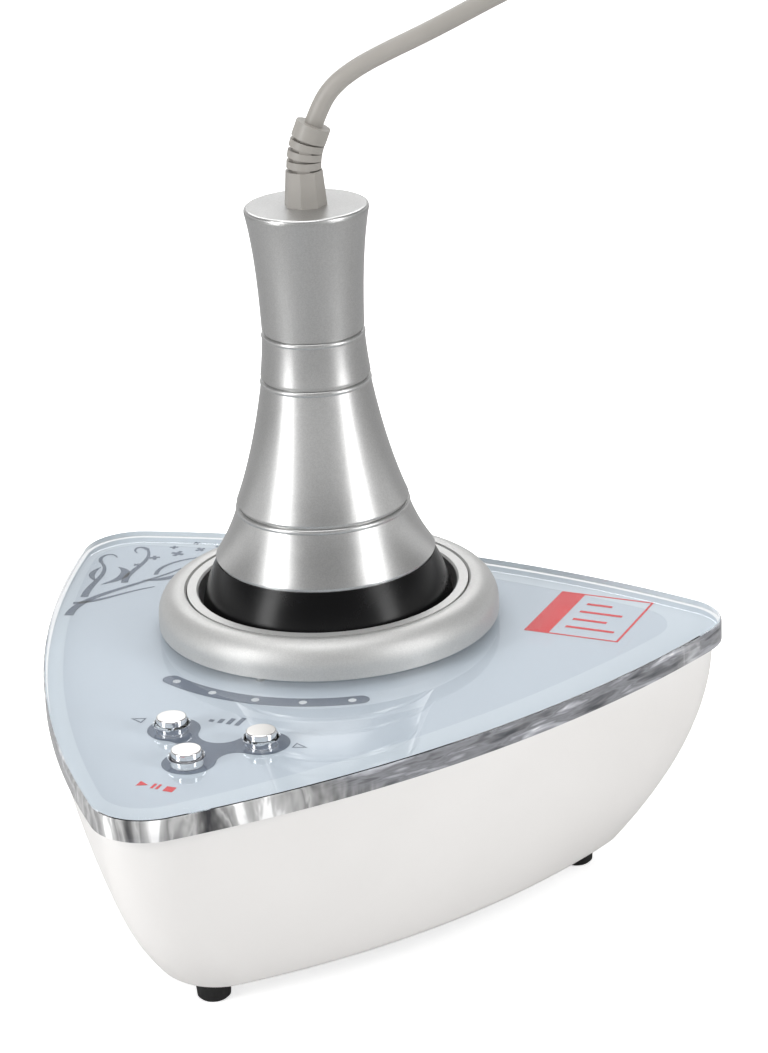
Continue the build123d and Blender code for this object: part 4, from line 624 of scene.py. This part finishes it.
def bowed_loop(bm, tip, side, corner, height, side_steps=40, corner_steps=14, shift=0):
    """Edges of a closed bowed triangle, drawn by spinning one vertex from arc to arc."""
    reach = tip - corner
    top = reach * reach + side * side - corner * corner - reach * side
    bow = top / (2 * side - 2 * corner - reach)
    across = reach * math.sin(TURN / 6)
    along = reach * math.cos(TURN / 6) + bow - side
    half = math.atan2(across, along)
    middle = CASE_MIDDLE + Vector((shift, 0, height))
    start_angle = -TURN / 4 + TURN / 6
    first = middle - polar(bow - side, start_angle) + polar(bow, start_angle - half)
    last = bm.verts.new(first)
    made = set()
    for number in range(3):
        side_angle = start_angle + number * THIRD
        corner_angle = side_angle + TURN / 6
        stops = (
            (middle - polar(bow - side, side_angle), 2 * half, side_steps),
            (middle + polar(reach, corner_angle), THIRD - 2 * half, corner_steps),
        )
        for centre, angle, steps in stops:
            before = set(bm.edges)
            out = bmesh.ops.spin(bm, geom=[last], cent=centre, axis=(0, 0, 1), angle=angle, steps=steps)
            last = [item for item in out["geom_last"] if isinstance(item, bmesh.types.BMVert)][0]
            made |= set(bm.edges) - before
    verts = list({v for e in made for v in e.verts})
    bmesh.ops.remove_doubles(bm, verts=verts, dist=0.00002)
    return [e for e in bm.edges if e.is_wire]


key_boxes = {name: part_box("button_" + name) for name in ("left", "right", "front")}
BUTTONS = {
    name: ((low.x + high.x) / 2 / MM, (low.y + high.y) / 2 / MM) for name, (low, high) in key_boxes.items()
}
HOLE_R = 5.1
PLATE_ROUND = 0.9
RIM_FROM = 85 * MM


def circle_loop(bm, x, y, radius, height, steps=40):
    out = bmesh.ops.create_circle(bm, cap_ends=False, radius=radius * MM, segments=steps)
    bmesh.ops.translate(bm, verts=out["verts"], vec=(x * MM, y * MM, height))


def plate_piece():
    bm = bmesh.new()
    bowed_loop(bm, PLATE_TIP, PLATE_SIDE, PLATE_CORNER, PLATE_UNDER, side_steps=90, corner_steps=28)
    for x, y in BUTTONS.values():
        circle_loop(bm, x, y, HOLE_R, PLATE_UNDER)
    bmesh.ops.triangle_fill(bm, edges=bm.edges[:], use_beauty=True)
    faces = bm.faces[:]
    out = bmesh.ops.extrude_face_region(bm, geom=faces)
    raised = [item for item in out["geom"] if isinstance(item, bmesh.types.BMVert)]
    bmesh.ops.translate(bm, verts=raised, vec=(0, 0, PLATE_TOP - PLATE_UNDER))
    bmesh.ops.recalc_face_normals(bm, faces=bm.faces)
    rim = [
        e
        for e in bm.edges
        if all(v.co.z > PLATE_TOP - MM for v in e.verts)
        and abs(e.calc_face_angle(0) - TURN / 4) < 0.2
        and (e.verts[0].co - CASE_MIDDLE).length > RIM_FROM
    ]
    bmesh.ops.bevel(
        bm, geom=rim, offset=PLATE_ROUND * MM, affect="EDGES", segments=3, profile=0.5, material=-1
    )
    for face in bm.faces:
        spot = face.calc_center_median()
        outer = (Vector((spot.x, spot.y, 0)) - CASE_MIDDLE).length > RIM_FROM
        face.material_index = 1 if outer and abs(face.normal.z) < 0.95 else 0
    finishes = [plate_clear, edge_painted_glints]
    return finish_piece(
        "clear top plate", bm, finishes, "base", ["top_plate"], keep_faces=True
    )


plate_piece()

# Printed film: ground, edge band and motifs, all under the clear plate
PRINT_THICK = 0.04 * MM
BAND_Z = PLATE_UNDER - 0.16 * MM
MOTIF_Z = PLATE_UNDER - 0.10 * MM
FILM_TIP = 132.6 * MM
FILM_SIDE = 88.4 * MM
FILM_CORNER = 17.4 * MM
BAND_SHIFT = -5.5 * MM
BAND_TIP = 121.0 * MM
BAND_SIDE = 78.6 * MM
BAND_CORNER = 15.0 * MM
BAR_R = 67.0 * MM
BAR_WIDE = 6.0 * MM
BAR_TURN = 4.7
BAR_REACH = 29.0


def lift_flat(bm, thick):
    """Gives the flat faces of a bmesh a thickness, straight up."""
    out = bmesh.ops.extrude_face_region(bm, geom=bm.faces[:])
    raised = [item for item in out["geom"] if isinstance(item, bmesh.types.BMVert)]
    bmesh.ops.translate(bm, verts=raised, vec=(0, 0, thick))


def film_piece():
    bm = bmesh.new()
    bowed_loop(bm, FILM_TIP, FILM_SIDE, FILM_CORNER, film_low.z, side_steps=60, corner_steps=20)
    for x, y in BUTTONS.values():
        circle_loop(bm, x, y, HOLE_R, film_low.z)
    bmesh.ops.triangle_fill(bm, edges=bm.edges[:], use_beauty=True)
    lift_flat(bm, BAND_Z - film_low.z - 0.01 * MM)
    return finish_piece("printed film ground", bm, [film_blue], "base", ["printed_film"])


def band_piece():
    """The lighter band along the film's edge."""
    bm = bmesh.new()
    bowed_loop(bm, FILM_TIP, FILM_SIDE, FILM_CORNER, BAND_Z, side_steps=60, corner_steps=20)
    bowed_loop(
        bm, BAND_TIP, BAND_SIDE, BAND_CORNER, BAND_Z, side_steps=60, corner_steps=20, shift=BAND_SHIFT
    )
    bmesh.ops.triangle_fill(bm, edges=bm.edges[:], use_beauty=True)
    lift_flat(bm, PRINT_THICK)
    return finish_piece("film edge band", bm, [film_edge], "base")


film_piece()
band_piece()


def flat_piece(name, bm, finish):
    lift_flat(bm, PRINT_THICK)
    return finish_piece(name, bm, [finish], "base")


def light_bar():
    """The slate bar behind the indicator lights, an arc round the ring with round ends."""
    bm = bmesh.new()
    centre = Vector((ring_middle.x, ring_middle.y, MOTIF_Z))
    radius, half_wide = BAR_R, BAR_WIDE / 2
    reach = math.radians(BAR_REACH)
    middle_angle = math.radians(BAR_TURN) - TURN / 4
    start, end = middle_angle - reach, middle_angle + reach
    last = bm.verts.new(centre + polar(radius + half_wide, start))
    stops = (
        (centre, 2 * reach, 60),
        (centre + polar(radius, end), TURN / 2, 14),
        (centre, -2 * reach, 60),
        (centre + polar(radius, start), TURN / 2, 14),
    )
    for middle, angle, steps in stops:
        out = bmesh.ops.spin(bm, geom=[last], cent=middle, axis=(0, 0, 1), angle=angle, steps=steps)
        last = [item for item in out["geom_last"] if isinstance(item, bmesh.types.BMVert)][0]
    bmesh.ops.remove_doubles(bm, verts=bm.verts, dist=0.00002)
    bmesh.ops.triangle_fill(bm, edges=bm.edges[:], use_beauty=True)
    return flat_piece("light bar", bm, print_slate)


light_bar()


LOBE_R = 8.4
LOBE_BEHIND = 1.0


def key_panel():
    """The slate panel round the keys: three lobes joined by hollow curves."""
    lobe = LOBE_R
    behind = Vector((0, LOBE_BEHIND))
    order = ["left", "front", "right"]
    hollow = {("left", "front"): 6.0, ("front", "right"): 6.0, ("right", "left"): 7.4}
    bm = bmesh.new()
    stops = []
    for here, there in zip(order, order[1:] + order[:1]):
        a, b = Vector(BUTTONS[here]) + behind, Vector(BUTTONS[there]) + behind
        curve = hollow[(here, there)]
        middle = (a + b) / 2
        away = Vector(((b - a).y, -(b - a).x)).normalized()
        far = math.sqrt((lobe + curve) ** 2 - (b - a).length_squared / 4)
        stops.append((a, middle + away * far, b, curve))
    previous = stops[-1]
    entry = previous[2] + (previous[1] - previous[2]).normalized() * lobe
    last = bm.verts.new((entry.x * MM, entry.y * MM, MOTIF_Z))

    def swing(vert, centre, goal, way, steps):
        start = Vector((vert.co.x / MM, vert.co.y / MM)) - centre
        end = goal - centre
        angle = (math.atan2(end.y, end.x) - math.atan2(start.y, start.x)) * way % TURN * way
        middle = (centre.x * MM, centre.y * MM, MOTIF_Z)
        out = bmesh.ops.spin(bm, geom=[vert], cent=middle, axis=(0, 0, 1), angle=angle, steps=steps)
        return [item for item in out["geom_last"] if isinstance(item, bmesh.types.BMVert)][0]

    for a, centre, b, curve in stops:
        last = swing(last, a, a + (centre - a).normalized() * lobe, 1, 22)
        last = swing(last, centre, b + (centre - b).normalized() * lobe, -1, 12)
    bmesh.ops.remove_doubles(bm, verts=bm.verts, dist=0.00005)
    for x, y in BUTTONS.values():
        circle_loop(bm, x, y, HOLE_R, MOTIF_Z)
    bmesh.ops.triangle_fill(bm, edges=[e for e in bm.edges if e.is_wire], use_beauty=True)
    return flat_piece("key panel", bm, print_slate)


key_panel()


def shape_from(points, name, finish, height=MOTIF_Z):
    """A small printed shape with straight sides, its corners in millimetres."""
    bm = bmesh.new()
    bm.faces.new([bm.verts.new((x * MM, y * MM, height)) for x, y in points])
    return flat_piece(name, bm, finish)


def outlined(points, wide, name, finish, height=MOTIF_Z):
    """The same, as an open outline of a given width."""
    bm = bmesh.new()
    face = bm.faces.new([bm.verts.new((x * MM, y * MM, height)) for x, y in points])
    bm.normal_update()
    bmesh.ops.inset_individual(bm, faces=[face], thickness=wide * MM, use_even_offset=True)
    bmesh.ops.delete(bm, geom=[face], context="FACES_ONLY")
    return flat_piece(name, bm, finish)


outlined([(-29.4, -41.2), (-34.0, -43.1), (-29.4, -45.0)], 0.4, "step arrow left", print_slate)
outlined([(23.6, -45.9), (28.2, -44.2), (23.6, -42.3)], 0.4, "step arrow right", print_slate)
for step in range(4):
    left_x, top_y = -9.8 + 3.0 * step, -35.4 + 1.4 * step
    shape_from(
        [(left_x, -37.0), (left_x + 1.6, -37.0), (left_x + 1.6, top_y), (left_x, top_y)],
        "level step %d" % (step + 1), print_slate,
    )
shape_from([(-9.4, -81.7), (-9.4, -85.1), (-6.1, -83.4)], "run sign", print_red)
for number in range(2):
    left_x = -4.6 + 1.7 * number
    shape_from(
        [(left_x, -85.1), (left_x + 0.9, -85.1), (left_x + 0.9, -81.9), (left_x, -81.9)],
        "pause sign %d" % (number + 1), print_red,
    )
shape_from([(-0.1, -85.5), (3.1, -85.5), (3.1, -82.3), (-0.1, -82.3)], "stop sign", print_red)

# Red panel at the right corner: an outlined box with a filled band and plain rules
PANEL = (57.0, 61.0, 90.0, 96.0)
x0, y0, x1, y1 = PANEL
outlined([(x0, y0), (x1, y0), (x1, y1), (x0, y1)], 0.8, "red panel frame", print_red)
band_points = [(x0, y0), (x0 + 8.5, y0), (x0 + 8.5, y1), (x0, y1)]
shape_from(band_points, "red panel band", print_red, MOTIF_Z - 0.045 * MM)
for number, long in enumerate((17.0, 12.0, 15.0, 9.0)):
    low_x, low_y = x0 + 12.0, y0 + 6.5 + 6.6 * number
    shape_from(
        [(low_x, low_y), (low_x + long, low_y), (low_x + long, low_y + 1.5), (low_x, low_y + 1.5)],
        "red panel rule %d" % (number + 1), print_red,
    )


def ribbon_line(name, points, widths, finish, height=MOTIF_Z, count=26):
    """A printed line that follows a curve and swells and thins, from a few points in millimetres."""
    knots = [Vector((x, y, 0)) for x, y in points]
    line = geometry.interpolate_bezier(*knots, count)
    bm = bmesh.new()
    row = []
    for number, here in enumerate(line):
        share = number / (count - 1)
        ahead = line[min(number + 1, count - 1)] - line[max(number - 1, 0)]
        across = Vector((-ahead.y, ahead.x, 0)).normalized()
        swell = widths[0] + (widths[1] - widths[0]) * math.sin(math.pi * share) if len(widths) == 2 else (
            widths[0] + (widths[2] - widths[0]) * share
        )
        swell = max(swell, 0.05) / 2
        lift = Vector((0, 0, height))
        row.append([bm.verts.new((here + across * swell * sign) * MM + lift) for sign in (-1, 1)])
    for a, b in zip(row, row[1:]):
        bm.faces.new((a[0], b[0], b[1], a[1]))
    return flat_piece(name, bm, finish)


# Corner ornament at the back left: plain curling stems with small crosses
stems = [
    ("long stem", (-95, 24), (-101, 40), (-85, 54), (-78, 74), (3.2, 0, 0.8)),
    ("side stem", (-99, 34), (-90, 38), (-88, 48), (-79, 56), (2.0, 0, 0.6)),
    ("edge branch", (-98, 40), (-103, 52), (-99, 62), (-108, 70), (2.8, 0, 1.0)),
    ("edge curl", (-108, 70), (-113, 75), (-109, 81), (-105, 76), (1.6, 0, 0.5)),
    ("middle branch", (-91, 56), (-96, 66), (-90, 76), (-98, 86), (2.6, 0, 0.9)),
    ("middle curl", (-98, 86), (-103, 90), (-104, 84), (-100, 82), (1.6, 0, 0.5)),
    ("leaf", (-98, 52), (-92, 60), (-94, 66), (-100, 68), (0.4, 3.6)),
    ("small leaf", (-86, 60), (-79, 62), (-76, 66), (-76, 72), (0.3, 2.6)),
    ("ring stem", (-84, 66), (-88, 76), (-80, 84), (-70, 90), (1.6, 0, 0.5)),
    ("tip leaf", (-101, 54), (-106, 57), (-107, 61), (-106, 66), (0.3, 2.2)),
]
for name, a, b, c, d, widths in stems:
    ribbon_line("ornament " + name, [a, b, c, d], widths, print_slate)

crosses = [
    (-92, 80, 1.9), (-86, 86, 2.4), (-80, 92, 1.8), (-90, 91, 1.5), (-74, 96, 2.1), (-84, 97, 1.3),
    (-68, 94, 1.2), (-95, 72, 1.2),
]
for number, (x, y, arm) in enumerate(crosses):
    bm = bmesh.new()
    thin = arm * 0.32
    for wide, tall in ((arm, thin), (thin, arm)):
        out = bmesh.ops.create_grid(bm, x_segments=1, y_segments=1, size=0.5)
        bmesh.ops.scale(bm, verts=out["verts"], vec=(2 * wide * MM, 2 * tall * MM, 1))
        bmesh.ops.rotate(bm, verts=out["verts"], cent=(0, 0, 0), matrix=Matrix.Rotation(0.5 + number, 3, "Z"))
        lift = MOTIF_Z if wide > tall else MOTIF_Z - PRINT_THICK * 1.1
        bmesh.ops.translate(bm, verts=out["verts"], vec=(x * MM, y * MM, lift))
    flat_piece("ornament cross %d" % (number + 1), bm, print_slate)


# Chrome keys with a satin top


KEY_R = 4.8
KEY_RIM = 0.5
PLUNGER_R = 1.7
KEY_FLANGE = (6.3, -11.1, -10.1)


def key_outline(stem_low, top):
    """A key from its plunger up to its flat satin top with a rounded rim."""
    flange_r, flange_low, flange_top = KEY_FLANGE
    rim = KEY_RIM
    outline = [(0, stem_low), (PLUNGER_R, stem_low), (PLUNGER_R, flange_low)]
    outline += [(flange_r, flange_low), (flange_r, flange_top)]
    outline += [(KEY_R, flange_top)] + quarter_round(KEY_R - rim, top - rim, rim, 0, 1)
    return outline + [(0, top)]


for name, (x, y) in BUTTONS.items():
    low, high = key_boxes[name]
    stem, top = (low.z - PLATE_TOP) / MM, (high.z - PLATE_TOP) / MM
    turned(
        "chrome key " + name, key_outline(stem, top), [chrome, key_top_silver], name + "_button",
        ["button_" + name], middle=Vector((x * MM, y * MM, PLATE_TOP)), steps=64,
        finish_for=lambda radius, height, top=top: 1 if height > top - 0.02 else 0,
    )

# Handpiece cable: one line from the strain relief to the plug
CABLE_R = 3.0 * MM
CABLE_AWAY = math.radians(25.49)
exit_point = Vector((-4.93272, 50.5531, 251.461)) * MM
exit_way = Vector((
    math.sin(math.radians(22)) * math.cos(CABLE_AWAY),
    math.sin(math.radians(22)) * math.sin(CABLE_AWAY),
    math.cos(math.radians(22)),
))
arch_out_and_up = [
    (11.0, 263.9), (17.8, 268.7), (26.2, 272.9), (43.0, 280.0), (71.5, 293.8), (102.0, 304.5),
    (134.0, 306.5), (158.0, 295.5), (171.0, 271.0),
]
drop_points = [
    (148.6, 122.3, 236.0), (148.9, 126.2, 181.0), (152.3, 125.4, 126.0), (151.6, 128.9, 73.0),
    (153.1, 128.7, 39.5), (153.9, 122.0, 22.8), (154.6, 109.3, 10.0), (155.0, 92.6, 3.0),
]
cable_points = [exit_point, exit_point + exit_way * 7 * MM]
cable_points += [
    Vector((ring_middle.x, ring_middle.y, z * MM)) + polar(out * MM, CABLE_AWAY) for out, z in arch_out_and_up
]
cable_points += [Vector(point) * MM for point in drop_points]

# The coil: in for the lower layer, up in half a turn, and out again
COIL_MIDDLE = Vector((195.5, 70.0, 0)) * MM
COIL_R = 40.5 * MM
COIL_STEP = 6.6 * MM
LOW_QUARTERS, CLIMB_QUARTERS, HIGH_QUARTERS = 10, 2, 6
POINTS_A_QUARTER = 4
middle_quarters = LOW_QUARTERS + CLIMB_QUARTERS / 2
all_quarters = LOW_QUARTERS + CLIMB_QUARTERS + HIGH_QUARTERS
cable_points.append(COIL_MIDDLE + Vector((-COIL_R, 6 * MM, CABLE_R)))
# A control point of the spline lies this much outside the turn that it draws
outside = 1 / math.cos(TURN / 4 / POINTS_A_QUARTER / 2)
for number in range(all_quarters * POINTS_A_QUARTER + 1):
    quarters = number / POINTS_A_QUARTER
    shrink = COIL_STEP / 4 * (middle_quarters - abs(quarters - middle_quarters))
    share = min(max((quarters - LOW_QUARTERS) / CLIMB_QUARTERS, 0), 1)
    rise = COIL_STEP * (1 - math.cos(math.pi * share)) / 2
    spot = polar((COIL_R - shrink) * outside, TURN / 2 + quarters * TURN / 4)
    cable_points.append(COIL_MIDDLE + spot + Vector((0, 0, CABLE_R + rise)))
PLUG_Z = 9.4 * MM
coil_exit = Vector((229.4, 76.0, 9.6)) * MM
TAIL_RUN = 17 * MM
TAIL_TURN = math.radians(50)
tail_mid = coil_exit + Vector((0, TAIL_RUN, 0))
tail_next = tail_mid + polar(TAIL_RUN, TURN / 4 + TAIL_TURN / 2)
tail_next.z = PLUG_Z
plug_way = polar(1, TURN / 4 + TAIL_TURN)
tail_end = tail_next + plug_way * TAIL_RUN
cable_points += [coil_exit, tail_mid, tail_next, tail_end]


def route_line(points):
    """A NURBS line through the route, read back as a list of points."""
    curve = bpy.data.curves.new("cable route", "CURVE")
    curve.dimensions = "3D"
    spline = curve.splines.new("NURBS")
    spline.points.add(len(points) - 1)
    for place, point in zip(spline.points, points):
        place.co = (*point, 1)
    spline.order_u = 3
    spline.use_endpoint_u = True
    spline.resolution_u = 6
    holder = bpy.data.objects.new("cable route", curve)
    bpy.context.scene.collection.objects.link(holder)
    bpy.context.view_layer.update()
    mesh = bpy.data.meshes.new_from_object(holder)
    line = [vert.co.copy() for vert in mesh.vertices]
    bpy.data.objects.remove(holder)
    bpy.data.meshes.remove(mesh)
    return line


def tube_along(bm, line, radius, sides=20):
    """A closed tube along a line, its rings carried on from one to the next without a twist."""
    way = (line[1] - line[0]).normalized()
    across = way.cross(Vector((0, 1, 0))).normalized()
    out = bmesh.ops.create_circle(bm, cap_ends=True, radius=radius, segments=sides)
    turn_to = Matrix((across, way.cross(across), way)).transposed().to_4x4()
    bmesh.ops.transform(bm, matrix=Matrix.Translation(line[0]) @ turn_to, verts=out["verts"])
    ring_face = out["verts"][0].link_faces[0]
    total = 0
    for here, there in zip(line, line[1:]):
        total += (there - here).length
    for number in range(1, len(line)):
        here, there = line[number - 1], line[number]
        new_way = (line[min(number + 1, len(line) - 1)] - here).normalized()
        out = bmesh.ops.extrude_discrete_faces(bm, faces=[ring_face])
        ring_face = out["faces"][0]
        verts = list(ring_face.verts)
        bmesh.ops.translate(bm, verts=verts, vec=there - here)
        swing = way.rotation_difference(new_way).to_matrix()
        bmesh.ops.rotate(bm, verts=verts, cent=there, matrix=swing)
        way = new_way
    return total


def cable_piece():
    line = route_line(cable_points)
    bm = bmesh.new()
    length = tube_along(bm, line, CABLE_R)
    # The cap that each ring was pushed out of is inside the tube and goes
    inner = [f for f in bm.faces if len(f.verts) > 4][1:-1]
    bmesh.ops.delete(bm, geom=inner, context="FACES_ONLY")
    made = finish_piece(
        "handpiece cable", bm, [cable_grey], None, ["cable_arch", "cable_coil", "cable_tail"]
    )
    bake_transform(made)
    return made


cable_piece()

# Studio: plain pale floor, soft lamps, white surroundings


def studio_floor():
    bm = bmesh.new()
    bmesh.ops.create_grid(bm, x_segments=1, y_segments=1, size=6)
    mesh = bpy.data.meshes.new("studio floor")
    bm.to_mesh(mesh)
    bm.free()
    material, tree, bsdf, place = new_surface("studio floor", Roughness=0.9)
    path = tree.nodes.new("ShaderNodeLightPath")
    tone = add_node(tree, "ShaderNodeMix", data_type="RGBA")
    tone.inputs["A"].default_value = (0.9, 0.9, 0.9, 1)
    tone.inputs["B"].default_value = (0.42, 0.42, 0.42, 1)
    looked_at = add_node(tree, "ShaderNodeMath", operation="MAXIMUM")
    glow = add_node(tree, "ShaderNodeMath", operation="MULTIPLY")
    glow.inputs[1].default_value = 0.62
    link = tree.links.new
    link(path.outputs["Is Glossy Ray"], tone.inputs["Factor"])
    link(tone.outputs["Result"], bsdf.inputs["Base Color"])
    link(path.outputs["Is Camera Ray"], looked_at.inputs[0])
    link(path.outputs["Is Transmission Ray"], looked_at.inputs[1])
    link(looked_at.outputs["Value"], glow.inputs[0])
    link(glow.outputs["Value"], bsdf.inputs["Emission Strength"])
    bsdf.inputs["Emission Color"].default_value = (1, 1, 1, 1)
    mesh.materials.append(material)
    floor = bpy.data.objects.new("studio floor", mesh)
    bpy.context.scene.collection.objects.link(floor)


def soft_lamp(name, place, target, wide, tall, power):
    data = bpy.data.lights.new(name, "AREA")
    data.shape = "RECTANGLE"
    data.size, data.size_y = wide, tall
    data.energy = power
    lamp = bpy.data.objects.new(name, data)
    lamp.location = place
    lamp.rotation_euler = (Vector(target) - Vector(place)).to_track_quat("-Z", "Y").to_euler()
    bpy.context.scene.collection.objects.link(lamp)


def studio_world():
    world = bpy.data.worlds.new("studio")
    bpy.context.scene.world = world
    world.use_nodes = True
    tree = world.node_tree
    tree.nodes.clear()
    link = tree.links.new
    path = tree.nodes.new("ShaderNodeLightPath")
    white = add_node(tree, "ShaderNodeBackground", {"Color": (1, 1, 1, 1), "Strength": 1.0})
    fill = add_node(tree, "ShaderNodeBackground", {"Color": (1, 1, 1, 1), "Strength": 0.36})
    mirrored = add_node(tree, "ShaderNodeBackground", {"Color": (1, 1, 1, 1)})
    # Mirrored rays find white at the horizon and a dimmer ceiling above it
    look = tree.nodes.new("ShaderNodeTexCoord")
    apart = tree.nodes.new("ShaderNodeSeparateXYZ")
    ceiling = add_node(
        tree, "ShaderNodeMapRange", {"From Min": 0.10, "From Max": 0.28, "To Min": 0.95, "To Max": 0.27}
    )
    ceiling.interpolation_type = "SMOOTHSTEP"
    link(look.outputs["Generated"], apart.inputs["Vector"])
    link(apart.outputs["Z"], ceiling.inputs["Value"])
    link(ceiling.outputs["Result"], mirrored.inputs["Strength"])
    seen = add_node(tree, "ShaderNodeMath", operation="MAXIMUM")
    link(path.outputs["Is Camera Ray"], seen.inputs[0])
    link(path.outputs["Is Transmission Ray"], seen.inputs[1])
    first = tree.nodes.new("ShaderNodeMixShader")
    second = tree.nodes.new("ShaderNodeMixShader")
    end = tree.nodes.new("ShaderNodeOutputWorld")
    link(path.outputs["Is Glossy Ray"], first.inputs["Fac"])
    link(fill.outputs["Background"], first.inputs[1])
    link(mirrored.outputs["Background"], first.inputs[2])
    link(seen.outputs["Value"], second.inputs["Fac"])
    link(first.outputs["Shader"], second.inputs[1])
    link(white.outputs["Background"], second.inputs[2])
    link(second.outputs["Shader"], end.inputs["Surface"])


studio_floor()
studio_world()
soft_lamp("left softbox", (-0.57, -0.82, 0.5), (0, 0.03, 0.14), 0.30, 0.9, 6.5)
soft_lamp("right softbox", (1.0, -0.08, 0.5), (0, 0.03, 0.14), 0.30, 0.9, 5)
soft_lamp("top softbox", (-0.1, 0.0, 1.6), (0, 0.03, 0.1), 1.1, 1.1, 10)
soft_lamp("back softbox", (-0.5, 1.05, 1.05), (0, 0.03, 0.1), 1.2, 0.6, 7)

scene = bpy.context.scene
scene.view_settings.view_transform = "Standard"
